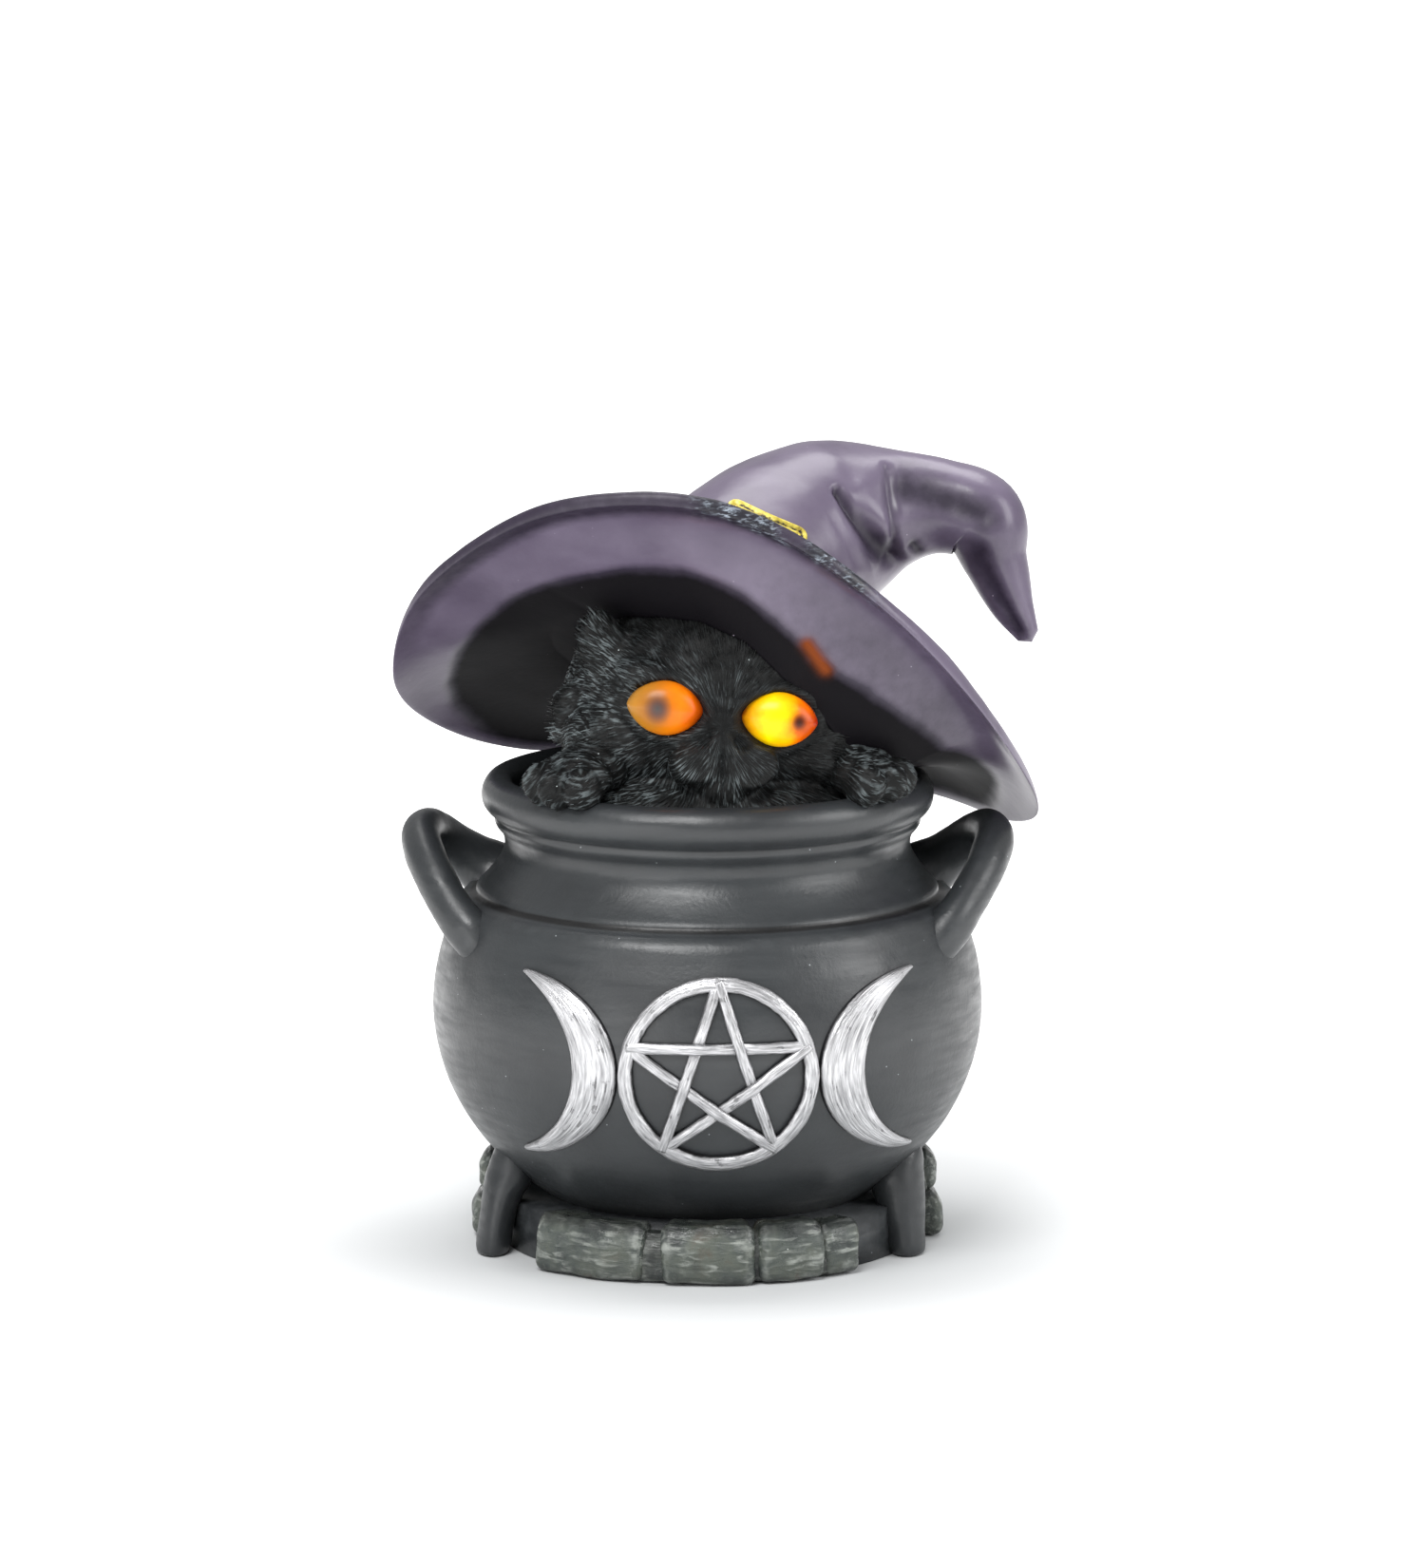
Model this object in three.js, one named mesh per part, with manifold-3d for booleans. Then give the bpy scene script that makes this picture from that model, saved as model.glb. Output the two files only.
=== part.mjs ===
// A light-up figure: a kitten looks out of a cauldron from under a floppy witch hat, on a ring of
// stones. Its two glassy eyes are lit from behind by LEDs, fed by three button cells in a battery
// box in the base. The castings are painted resin. Millimetres, +Z up, front towards -Y.
import * as THREE from "three";
import { mergeVertices } from "three/addons/utils/BufferGeometryUtils.js";
import Module from "manifold-3d";

const wasm = await Module();
wasm.setup();

// ---------------------------------------------------------------- sizes

const gap = 0.35; // between pieces that are glued or seated together
const wall = 4; // cast resin

const plinth = { radius: 36.8, core: 31.8, joint: 2.2, jointDepth: 1.1 };
const frontStones = { count: 3, from: -43, to: 43, height: 9.2 };
const backStones = { count: 7, from: 84, to: 276, height: 13.6 };
const felt = { thickness: 1, radius: 28.4 };
const belly = { radius: 42.3, widestZ: 36.3, drop: 35.5, rise: 38, floorZ: 6 };
const neck = { shoulderZ: 53.5, step: 0.7, radius: 31, waistZ: 61.3 };
const lip = { radius: 34.8, topZ: 72.1, height: 6.8, mouth: 29.6, shelf: 27 };
const foot = { circle: 33.6, bearing: 68, tip: 3.6, top: 6.4, height: 18, lean: 0.24 };
const handle = { tube: 3.2, topZ: 62.6, standOut: 13, nearZ: 49.6, farZ: 54.8, near: 21, far: 21 };

const emblem = { x: 1.6, z: 33.2, thickness: 1.2, ring: 14.9, ringWidth: 2.2, bar: 1.9 };
const crescent = { height: 28.6, bulge: 15, hollow: 7.2, fromRing: 0.5 };

const head = { x: 2.2, y: -6.5, rise: 12.4, rx: 24, ry: 20.4, rz: 18.2 };
const headHollow = { rx: 17.5, ry: 11.5, rz: 13, back: 5, stem: 13.5 };
const eye = { width: 11.4, height: 8, dome: 3, back: 2.6, y: -24.8, spread: 8.5, rise: 0.7, tilt: 6 };
const paw = { width: 13, depth: 12, height: 9.4, left: -41, right: 52, rise: 2.8 };

const crown = { x: 2.4, y: 0.8, rise: 18.6, halfWidth: 26, halfDepth: 19.6, pitch: 10.6, roll: -3.4 };
const brim = { half: 1.5, lift: 3.4, throat: -4, cover: 2.2 };
const band = { width: 5.5, thickness: 1.3, along: 0.078 };
const buckle = { width: 15, height: 8.5, bar: 2.4, thickness: 1.6, x: 8.6 };

const cell = { radius: 5.8, length: 5.4, count: 3, spacing: 0.3 };
// The chamber is as deep and as high as its cells, and the box grows forwards and upwards with it.
const chamber = { left: -13, right: 8.4, depth: 2 * cell.radius + 0.7 };
const box = { half: 14.5, back: 27.4, depth: chamber.depth + 8.6, bottom: 1.5, wall: 1.5, corner: 2.5 };
box.front = box.back - box.depth;
box.top = chamber.depth + 4.6;
const cover = { half: 13.6, inset: 0.7, depth: chamber.depth + 1.6, thickness: 1.6 };
const screw = { x: 11.2, head: 1.9, headHeight: 0.7, headRise: 0.1, shaft: 1, length: 5.5, slot: 0.5 };
const boss = { radius: 1.35, top: 8.6 };
const slider = { length: 8.6, width: 3.7, height: 3.5, knob: 2.2, knobWidth: 1.8, travel: 2, reach: 1 };
const contact = { thickness: 0.5, width: 8, height: 8, tab: 1.6, springWire: 0.35, springTurns: 2.5 };
const board = { half: 9, front: 9, depth: 11, thickness: 1, pad: 4.2 };
const led = { radius: 2.5, flange: 2.9, length: 8.6, pin: 0.28, pinLength: 5, pitch: 2.54 };
const lead = { radius: 0.5, sides: 8, steps: 16 };

// ---------------------------------------------------------------- helpers on solids

const deg = THREE.MathUtils.degToRad;
const v3 = (x, y, z) => new THREE.Vector3(x, y, z);

// A closed skin over rings of equally many points. A ring of one point closes an end as a pole.
function skin(rings) {
  const position = [];
  const starts = rings.map((ring) => {
    const start = position.length / 3;
    ring.forEach((p) => position.push(p.x, p.y, p.z));
    return start;
  });
  const index = [];
  for (let i = 0; i < rings.length - 1; i++) {
    const [near, far] = [rings[i].length, rings[i + 1].length];
    const count = Math.max(near, far);
    for (let k = 0; k < count; k++) {
      const next = (k + 1) % count;
      const a = starts[i] + (k % near);
      const b = starts[i] + (next % near);
      const c = starts[i + 1] + (k % far);
      const d = starts[i + 1] + (next % far);
      if (near > 1) index.push(a, b, d);
      if (far > 1) index.push(a, d, c);
    }
  }
  const geometry = new THREE.BufferGeometry();
  geometry.setAttribute("position", new THREE.Float32BufferAttribute(position, 3));
  geometry.setIndex(index);
  return facingOut(geometry);
}

function facingOut(geometry) {
  const p = geometry.getAttribute("position");
  const index = geometry.index.array;
  const [a, b, c] = [v3(), v3(), v3()];
  let volume = 0;
  for (let i = 0; i < index.length; i += 3) {
    a.fromBufferAttribute(p, index[i]);
    b.fromBufferAttribute(p, index[i + 1]);
    c.fromBufferAttribute(p, index[i + 2]);
    volume += a.dot(b.cross(c));
  }
  if (volume < 0) index.reverse();
  return geometry;
}

function merged(geometry) {
  const bare = geometry.clone();
  Object.keys(bare.attributes)
    .filter((name) => name !== "position")
    .forEach((name) => bare.deleteAttribute(name));
  return mergeVertices(bare, 1e-3);
}

function solid(geometry) {
  const g = merged(geometry);
  const vertProperties = new Float32Array(g.attributes.position.array);
  const triVerts = new Uint32Array(g.index.array);
  return new wasm.Manifold(new wasm.Mesh({ numProp: 3, vertProperties, triVerts }));
}

function geometryOf(manifold) {
  const mesh = manifold.getMesh();
  const g = new THREE.BufferGeometry();
  g.setAttribute("position", new THREE.BufferAttribute(mesh.vertProperties, 3));
  g.setIndex(new THREE.BufferAttribute(mesh.triVerts, 1));
  return g;
}

const join = (...geometries) => geometryOf(geometries.map(solid).reduce((a, b) => a.add(b)));
const cut = (geometry, ...tools) =>
  geometryOf(tools.map(solid).reduce((a, b) => a.subtract(b), solid(geometry)));
const common = (a, b) => geometryOf(solid(a).intersect(solid(b)));

// The largest body of a geometry, without the crumbs that a cut can leave.
function largest(geometry) {
  const bodies = solid(geometry).decompose();
  return geometryOf(bodies.reduce((a, b) => (b.volume() > a.volume() ? b : a)));
}

// The same surface moved out along its own normals, to cut a seat with a gap round it.
function grown(geometry, by = gap) {
  const g = merged(geometry);
  g.computeVertexNormals();
  const p = g.attributes.position;
  const n = g.attributes.normal;
  for (let i = 0; i < p.count; i++) {
    p.setXYZ(i, p.getX(i) + n.getX(i) * by, p.getY(i) + n.getY(i) * by, p.getZ(i) + n.getZ(i) * by);
  }
  g.deleteAttribute("normal");
  return g;
}

function block(x0, x1, y0, y1, z0, z1) {
  const g = new THREE.BoxGeometry(x1 - x0, y1 - y0, z1 - z0);
  return g.translate((x0 + x1) / 2, (y0 + y1) / 2, (z0 + z1) / 2);
}

function post(x, y, z0, z1, radius, sides = 24) {
  const g = new THREE.CylinderGeometry(radius, radius, z1 - z0, sides);
  return g.rotateX(Math.PI / 2).translate(x, y, (z0 + z1) / 2);
}

function turned(profile, sides = 32) {
  const points = profile.map(([r, z]) => new THREE.Vector2(r, z));
  return facingOut(merged(new THREE.LatheGeometry(points, sides).rotateX(Math.PI / 2)));
}

function ellipsoid(centre, rx, ry, rz, across = 12, down = 7) {
  const g = new THREE.SphereGeometry(1, across, down).rotateX(Math.PI / 2);
  return g.scale(rx, ry, rz).translate(centre.x, centre.y, centre.z);
}

function roundTube(points, radius, steps, sides = 10) {
  const section = new THREE.Shape();
  for (let i = 0; i < sides; i++) {
    const a = (2 * Math.PI * i) / sides;
    section[i ? "lineTo" : "moveTo"](radius * Math.cos(a), radius * Math.sin(a));
  }
  const extrudePath = new THREE.CatmullRomCurve3(points);
  return new THREE.ExtrudeGeometry(section, { steps, bevelEnabled: false, extrudePath });
}

// An outline in X and Z carried forward from the middle plane, along -Y.
function frontPrism(shape, curveSegments = 24) {
  const depth = 2 * belly.radius;
  return new THREE.ExtrudeGeometry(shape, { depth, curveSegments, bevelEnabled: false }).rotateX(Math.PI / 2);
}

function roundedRectangle(x0, x1, y0, y1, r) {
  const s = new THREE.Shape();
  s.moveTo(x0 + r, y0).lineTo(x1 - r, y0).absarc(x1 - r, y0 + r, r, -Math.PI / 2, 0);
  s.lineTo(x1, y1 - r).absarc(x1 - r, y1 - r, r, 0, Math.PI / 2);
  s.lineTo(x0 + r, y1).absarc(x0 + r, y1 - r, r, Math.PI / 2, Math.PI);
  s.lineTo(x0, y0 + r).absarc(x0 + r, y0 + r, r, Math.PI, 1.5 * Math.PI);
  return s;
}

// ---------------------------------------------------------------- cauldron

// Outer radius up to the lip: an egg-shaped belly, then a hollow-sided neck.
function potRadius(z) {
  const half = z < belly.widestZ ? belly.drop : belly.rise;
  if (z <= neck.shoulderZ) {
    return belly.radius * Math.sqrt(Math.max(0, 1 - ((z - belly.widestZ) / half) ** 2));
  }
  const t = Math.max(0, (neck.waistZ - z) / (neck.waistZ - neck.shoulderZ));
  return neck.radius + (potRadius(neck.shoulderZ) - neck.radius) * t ** 1.6;
}

function potOutline(offset = 0) {
  const outline = [[0, belly.floorZ - offset]];
  const steps = 9;
  for (let i = 0; i <= steps; i++) {
    const z = belly.floorZ + (neck.shoulderZ - 0.8 - belly.floorZ) * (i / steps) ** 1.25;
    outline.push([potRadius(z) + offset, z - (i ? 0 : offset)]);
  }
  outline.push([potRadius(neck.shoulderZ) - neck.step + offset, neck.shoulderZ + 0.4]);
  const neckSteps = 3;
  for (let i = 1; i <= neckSteps; i++) {
    const z = neck.shoulderZ + ((neck.waistZ - neck.shoulderZ) * (i + 0.4)) / (neckSteps + 0.4);
    outline.push([Math.min(potRadius(z), potRadius(neck.shoulderZ) - neck.step) + offset, z]);
  }
  const middle = (lip.radius + lip.mouth) / 2;
  const halfWidth = (lip.radius - lip.mouth) / 2;
  const halfHeight = lip.height / 2;
  for (let a = -60; a <= 160; a += 27.5) {
    const r = middle + (halfWidth + offset) * Math.cos(deg(a));
    outline.push([r, lip.topZ - halfHeight + (halfHeight + offset) * Math.sin(deg(a))]);
  }
  return outline;
}

const shelfZ = lip.topZ - lip.height;
const floorZ = belly.floorZ + wall;

function cauldronBody() {
  const inside = [
    [lip.mouth, lip.topZ - lip.height / 2],
    [lip.mouth, shelfZ],
    [lip.shelf, shelfZ],
    [lip.shelf, neck.waistZ - 1],
  ];
  const steps = 5;
  for (let i = 0; i <= steps; i++) {
    const z = neck.shoulderZ - 2 - ((neck.shoulderZ - 2 - floorZ) * i) / steps;
    inside.push([potRadius(z) - wall, z]);
  }
  inside.push([0, floorZ]);
  return cut(turned([...potOutline(), ...inside]), batteryBay);
}

// The cauldron's outside as a full block, to cut the seats of what is glued onto it.
const potBlock = (offset) => turned([...potOutline(offset), [0, lip.topZ + offset]]);
const potSeat = potBlock(gap);

function castFoot(bearing) {
  const { tip, top, height } = foot;
  const profile = [
    [0, 0],
    [tip - 0.5, 0],
    [tip, 0.8],
    [tip + (top - tip) * 0.3, height * 0.45],
    [top, height],
    [0, height],
  ];
  const a = deg(bearing);
  const lean = new THREE.Matrix4().makeShear(0, 0, 0, 0, foot.lean * -Math.sin(a), foot.lean * Math.cos(a));
  const cone = turned(profile, 16).applyMatrix4(lean);
  return largest(cut(cone.translate(foot.circle * Math.sin(a), -foot.circle * Math.cos(a), 0), potSeat, batteryBay));
}

// An ear handle stands out from the shoulder, with one root in front of the other. side is -1 or 1.
function earHandle(side) {
  const at = (bearing, z, out) => {
    const r = potRadius(z) + out;
    return v3(side * r * Math.cos(deg(bearing)), r * Math.sin(deg(bearing)), z);
  };
  const out = neck.radius + handle.standOut;
  const points = [
    at(-handle.near, handle.nearZ - 2.5, -2.5),
    at(-handle.near, handle.nearZ + 2, 1),
    v3(side * (out - 1.6), -9, handle.topZ - 5.6),
    v3(side * out, -1.5, handle.topZ - 0.3),
    v3(side * (out - 1), 4.5, handle.topZ),
    v3(side * (out - 5), 10, handle.topZ - 3.2),
    at(handle.far, handle.farZ + 1, 1.5),
    at(handle.far, handle.farZ - 2, -2.5),
  ];
  return largest(cut(roundTube(points, handle.tube, 18, 8), potSeat));
}

// ---------------------------------------------------------------- stone ring and felt

// One sculpted stone of the ring, from bearing a to b, seen from above.
function stone(a, b, height, outer = plinth.radius) {
  const inner = plinth.core - 12;
  const steps = Math.ceil((b - a) / deg(9));
  const shape = new THREE.Shape().moveTo(inner * Math.sin(a), -inner * Math.cos(a));
  for (let i = 0; i <= steps; i++) {
    const t = a + ((b - a) * i) / steps;
    shape.lineTo(outer * Math.sin(t), -outer * Math.cos(t));
  }
  shape.lineTo(inner * Math.sin(b), -inner * Math.cos(b));
  return new THREE.ExtrudeGeometry(shape, { depth: height, bevelEnabled: false });
}

function stoneArc({ count, from, to, height }) {
  const pitch = deg(to - from) / count;
  const joint = plinth.joint / plinth.radius / 2;
  const first = deg(from);
  const stones = Array.from({ length: count }, (_, i) =>
    stone(first + i * pitch + joint, first + (i + 1) * pitch - joint, height),
  );
  const mortar = stone(first + joint, deg(to) - joint, height - plinth.jointDepth, plinth.radius - plinth.jointDepth);
  return [...stones, mortar];
}

// The ring is one course high in front and two courses high round the back, and open at the front feet.
function stonePlinth(feet) {
  const core = post(0, 0, 0, frontStones.height - plinth.jointDepth, plinth.core, 36);
  const ring = join(core, ...stoneArc(frontStones), ...stoneArc(backStones));
  const recess = post(0, 0, -1, felt.thickness + gap, felt.radius + gap, 36);
  return largest(cut(ring, recess, potSeat, batteryBay, ...feet.map((f) => grown(f))));
}

function baseFelt(feet) {
  const disc = post(0, 0, 0, felt.thickness, felt.radius, 36);
  const back = box.front + box.depth;
  const window = block(-box.half - gap, box.half + gap, box.front - gap, back + gap, -1, box.bottom);
  return largest(cut(disc, window, ...feet.map((f) => grown(f))));
}

// ---------------------------------------------------------------- silver emblem on the belly

// The layer on the belly from the glue line out to the face of the relief.
const reliefLayer = cut(potBlock(gap + emblem.thickness), potSeat);
const onBelly = (prism) => largest(common(prism, reliefLayer));

function starBar(from, to) {
  const radius = emblem.ring - emblem.ringWidth / 2;
  const at = (bearing) => new THREE.Vector2(radius * Math.sin(bearing), radius * Math.cos(bearing));
  const [a, b] = [at(from), at(to)];
  const across = b.clone().sub(a).normalize().rotateAround(new THREE.Vector2(), Math.PI / 2);
  across.multiplyScalar(emblem.bar / 2);
  const corners = [a.clone().add(across), b.clone().add(across), b.clone().sub(across), a.clone().sub(across)];
  return new THREE.Shape(corners.map((p) => p.add(new THREE.Vector2(emblem.x, emblem.z))));
}

function pentacle() {
  const ring = new THREE.Shape().absarc(emblem.x, emblem.z, emblem.ring, 0, 2 * Math.PI);
  const inner = emblem.ring - emblem.ringWidth;
  ring.holes.push(new THREE.Path().absarc(emblem.x, emblem.z, inner, 0, 2 * Math.PI, true));
  const prisms = [frontPrism(ring)];
  for (let i = 0; i < 5; i++) prisms.push(frontPrism(starBar(deg(72 * i), deg(72 * (i + 2)))));
  return onBelly(join(...prisms));
}

// A crescent with its full side towards the ring. side is -1 or 1.
function crescentMoon(side) {
  const half = crescent.height / 2;
  const near = emblem.x + side * (emblem.ring + crescent.fromRing);
  const tip = near + side * crescent.bulge;
  const points = 14;
  const arcPoint = (bulge, i) => {
    const radius = (half * half + bulge * bulge) / (2 * bulge);
    const sweep = bulge > half ? Math.PI - Math.asin(half / radius) : Math.asin(half / radius);
    const a = -sweep + (2 * sweep * i) / points;
    return [tip - side * (bulge - radius * (1 - Math.cos(a))), emblem.z + radius * Math.sin(a)];
  };
  const shape = new THREE.Shape();
  for (let i = 0; i <= points; i++) shape[i ? "lineTo" : "moveTo"](...arcPoint(crescent.bulge, i));
  for (let i = points - 1; i > 0; i--) shape.lineTo(...arcPoint(crescent.hollow, i));
  return onBelly(frontPrism(shape));
}

// ---------------------------------------------------------------- witch hat

const crownZ = lip.topZ + crown.rise;
const headZ = lip.topZ + head.rise;

// The edge of the drooping brim, from the raised front round by the right side, in heights over the lip.
const brimEdge = new THREE.CatmullRomCurve3(
  [
    v3(-8, -34.5, 46),
    v3(9, -34.5, 42),
    v3(27, -31, 29),
    v3(41, -20, 12.9),
    v3(50.4, -3, -3.7),
    v3(47.5, 14, -10),
    v3(36, 29, -8.6),
    v3(16, 38.5, -5),
    v3(-8, 39, -3),
    v3(-29, 31, -1.6),
    v3(-43.4, 17, 5.2),
    v3(-48.3, -1, 15.4),
    v3(-43, -14, 29.6),
    v3(-27, -28, 42.6),
  ].map((p) => p.setZ(p.z + lip.topZ)),
  true,
);

const around = 28;
const ringOf = (point) => Array.from({ length: around }, (_, i) => point((i + 0.5) / around));

// Share 0 is the ring where the brim meets the head, and share 1 is the brim's edge.
function brimPoint(turn, share, up) {
  const a = 2 * Math.PI * turn - 0.14;
  const inner = v3(
    crown.x + crown.halfWidth * Math.sin(a),
    crown.y - crown.halfDepth * Math.cos(a),
    crownZ + crown.pitch * Math.cos(a) + crown.roll * Math.sin(a),
  );
  const p = inner.lerp(brimEdge.getPointAt(turn), share);
  return p.setZ(p.z + up + 4 * brim.lift * share * (1 - share) * (0.4 + 0.6 * share));
}

// The hat's cone, a bent and folded spine of centres with a radius at each.
const coneSpine = new THREE.CatmullRomCurve3([
  v3(2.6, 4.2, 20.5),
  v3(7.5, 10, 31),
  v3(13.5, 14.5, 35.6),
  v3(21, 16.8, 37.8),
  v3(29.5, 17.2, 38.6),
  v3(37, 16.8, 38.2),
  v3(42.4, 16, 35.4),
  v3(45, 15, 30),
  v3(47.6, 13.8, 23.6),
  v3(50, 12.7, 18),
].map((p) => p.setZ(p.z + lip.topZ)));
const coneRadii = [21.5, 17.4, 14.6, 11.4, 8.6, 7.2, 6.4, 5.2, 3.6, 1.7];

function coneRadius(t) {
  const last = coneRadii.length - 1;
  const i = Math.min(last - 1, Math.floor(t * last));
  return THREE.MathUtils.lerp(coneRadii[i], coneRadii[i + 1], t * last - i);
}

function conePoint(turn, t) {
  const centre = coneSpine.getPoint(t);
  const along = coneSpine.getTangent(t);
  const front = v3(0, -1, 0).addScaledVector(along, along.y).normalize();
  const side = front.clone().cross(along).normalize();
  const a = 2 * Math.PI * turn - 0.14;
  const r = coneRadius(t);
  return centre.addScaledVector(front, r * Math.cos(a)).addScaledVector(side, -r * Math.sin(a));
}

function hatSkin() {
  const rings = [[v3(crown.x, crown.y, crownZ + brim.throat)]];
  rings.push(ringOf((u) => brimPoint(u, 0, 0).lerp(v3(crown.x, crown.y, crownZ + brim.throat), 0.5)));
  [0, 0.3, 0.6, 0.86, 1].forEach((s) => rings.push(ringOf((u) => brimPoint(u, s, -brim.half))));
  [1, 0.86, 0.6, 0.3].forEach((s) => rings.push(ringOf((u) => brimPoint(u, s, brim.half))));
  const steps = 14;
  for (let i = 0; i <= steps; i++) rings.push(ringOf((u) => conePoint(u, i / steps)));
  rings.push([coneSpine.getPoint(1).addScaledVector(coneSpine.getTangent(1), 1.2)]);
  return skin(rings);
}

// The round of the crown over the kitten's head, above the plane where brim and head meet.
function crownCap() {
  const up = v3(-crown.roll / crown.halfWidth, crown.pitch / crown.halfDepth, 1).normalize();
  const above = block(-60, 60, -60, 60, 0, 60).applyQuaternion(
    new THREE.Quaternion().setFromUnitVectors(v3(0, 0, 1), up),
  );
  const radii = [head.rx, head.ry, head.rz].map((r) => r + brim.cover);
  const egg = ellipsoid(v3(head.x, head.y, headZ), ...radii, 24, 14);
  return common(egg, above.translate(crown.x, crown.y, crownZ - 0.9 * brim.half));
}

const hatBlock = join(hatSkin(), crownCap());

function coneAxis(t) {
  const up = coneSpine.getTangent(t);
  const x = v3(1, 0, 0).addScaledVector(up, -up.x).normalize();
  const basis = new THREE.Matrix4().makeBasis(x, up, x.clone().cross(up));
  return basis.setPosition(coneSpine.getPoint(t));
}

// A ribbon round the foot of the cone.
function hatBand() {
  const reach = coneRadius(band.along) + gap + band.thickness + 1.5;
  const slice = new THREE.CylinderGeometry(reach, reach, band.width, 28).applyMatrix4(coneAxis(band.along));
  const shell = cut(grown(hatBlock, gap + band.thickness), grown(hatBlock));
  return largest(cut(common(shell, slice), grown(bustBlock)));
}

// A square frame that lies on the band at the front of the cone.
function hatBuckle(ribbon) {
  const { width, height, bar, thickness } = buckle;
  const outline = roundedRectangle(-width / 2, width / 2, -height / 2, height / 2, 1);
  const edge = [-width / 2 + bar, width / 2 - bar, -height / 2 + bar, height / 2 - bar];
  outline.holes.push(new THREE.Path(roundedRectangle(...edge, 0.5).getPoints(4)));
  const depth = 6;
  const frame = new THREE.ExtrudeGeometry(outline, { depth, bevelEnabled: false, curveSegments: 4 });
  const out = coneRadius(band.along) + 2 * gap + band.thickness + thickness;
  frame.translate(buckle.x - coneSpine.getPoint(band.along).x, 0, out - depth);
  frame.applyMatrix4(coneAxis(band.along));
  return largest(cut(frame, grown(ribbon), grown(hatBlock)));
}

// ---------------------------------------------------------------- kitten

// A point over the head's egg: bearing 0 is the face, 90 is +X, and rise is measured from its middle.
function onHead(bearing, rise, out) {
  const [a, e] = [deg(bearing), deg(rise)];
  const x = head.x + (head.rx + out) * Math.cos(e) * Math.sin(a);
  const y = head.y - (head.ry + out) * Math.cos(e) * Math.cos(a);
  return v3(x, y, headZ + (head.rz + out) * Math.sin(e));
}

const eyeCentre = (side) =>
  v3(head.x + side * eye.spread, eye.y, headZ + eye.rise - side * Math.sin(deg(eye.tilt)) * eye.spread);

// An almond dome on a short cylinder, its axis along Y, with the dome towards -Y.
function almond(centre, grow, front, back) {
  const count = 18;
  const [c, s] = [Math.cos(deg(eye.tilt)), -Math.sin(deg(eye.tilt))];
  const ring = (share, y) =>
    Array.from({ length: count }, (_, i) => {
      const a = (2 * Math.PI * i) / count;
      const x = share * (eye.width / 2 + grow) * Math.cos(a);
      const z = share * (eye.height / 2 + grow) * Math.sin(a) * (0.8 + 0.2 * Math.abs(Math.sin(a)));
      return v3(centre.x + x * c - z * s, y, centre.z + x * s + z * c);
    });
  const rings = [[v3(centre.x, centre.y - front, centre.z)]];
  [0.35, 0.62, 0.82, 0.94].forEach((share) =>
    rings.push(ring(share, centre.y - front * Math.sqrt(1 - share * share))),
  );
  rings.push(ring(1, centre.y), ring(1, centre.y + back), [v3(centre.x, centre.y + back, centre.z)]);
  return skin(rings);
}

const eyeLens = (side) => almond(eyeCentre(side), 0, eye.dome, eye.back);
const eyeSocket = (side) => almond(eyeCentre(side), gap, eye.dome + 6, eye.back + gap);

// The bore behind an eye, open to the hollow of the head.
function ledBore(side) {
  const c = eyeCentre(side);
  const length = head.y + headHollow.back - c.y;
  const g = new THREE.CylinderGeometry(led.flange + gap, led.flange + gap, length, 20);
  return g.translate(c.x, c.y + length / 2, c.z);
}

// The outside of head, ear, muzzle and shoulders, before the hat and the sockets are cut.
function bustOutside() {
  const mouth = lip.mouth - gap;
  const shoulders = turned(
    [
      [0, shelfZ + gap],
      [mouth, shelfZ + gap],
      [mouth, shelfZ + 2.4],
      [mouth * 0.85, lip.topZ - 1],
      [mouth * 0.5, lip.topZ + 4],
      [0, lip.topZ + 5],
    ],
    24,
  );
  const ear = new THREE.ConeGeometry(5.4, 12, 10).rotateX(Math.PI / 2).rotateY(deg(-14));
  const earFoot = onHead(-50, 26, 0.4);
  ear.translate(earFoot.x, earFoot.y, earFoot.z + 2);
  return join(
    ellipsoid(v3(head.x, head.y, headZ), head.rx, head.ry, head.rz, 22, 12),
    shoulders,
    ear,
    ellipsoid(onHead(-8, -30, -2), 5, 4.6, 3.8),
    ellipsoid(onHead(8, -30, -2), 5, 4.6, 3.8),
    ellipsoid(onHead(0, -46, -2), 5, 4, 3.4),
    ellipsoid(onHead(-64, -18, -2.5), 5, 5, 5.2),
    ellipsoid(onHead(64, -18, -2.5), 5, 5, 5.2),
  );
}

const bustBlock = bustOutside();

function kittenBust() {
  const [x, y] = [head.x, head.y + headHollow.back];
  const dome = ellipsoid(v3(x, y, headZ - 3), headHollow.rx, headHollow.ry, headHollow.rz, 14, 8);
  const stem = post(x, y, shelfZ - 1, headZ - 3, headHollow.stem);
  const bores = [-1, 1].flatMap((side) => [eyeSocket(side), ledBore(side)]);
  return largest(cut(bustBlock, join(dome, stem), ...bores));
}

// A paw hooked over the lip. bearing is measured from the front towards +X.
function kittenPaw(bearing, hat) {
  const a = deg(bearing);
  const r = (lip.radius + lip.mouth) / 2 - 0.6;
  const at = (turn, out, up) =>
    v3((r + out) * Math.sin(a + turn), -(r + out) * Math.cos(a + turn), lip.topZ + paw.rise + up);
  const palm = ellipsoid(at(0, -1, 0), paw.width / 2, paw.depth / 2, paw.height / 2, 12, 7);
  const toes = [-0.115, 0, 0.115].map((turn) => ellipsoid(at(turn, 3, -1.2), 2.5, 3, 3.4, 8, 5));
  return largest(cut(join(palm, ...toes), potSeat, grown(bustBlock), grown(hat)));
}

// ---------------------------------------------------------------- battery box in the base

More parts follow.
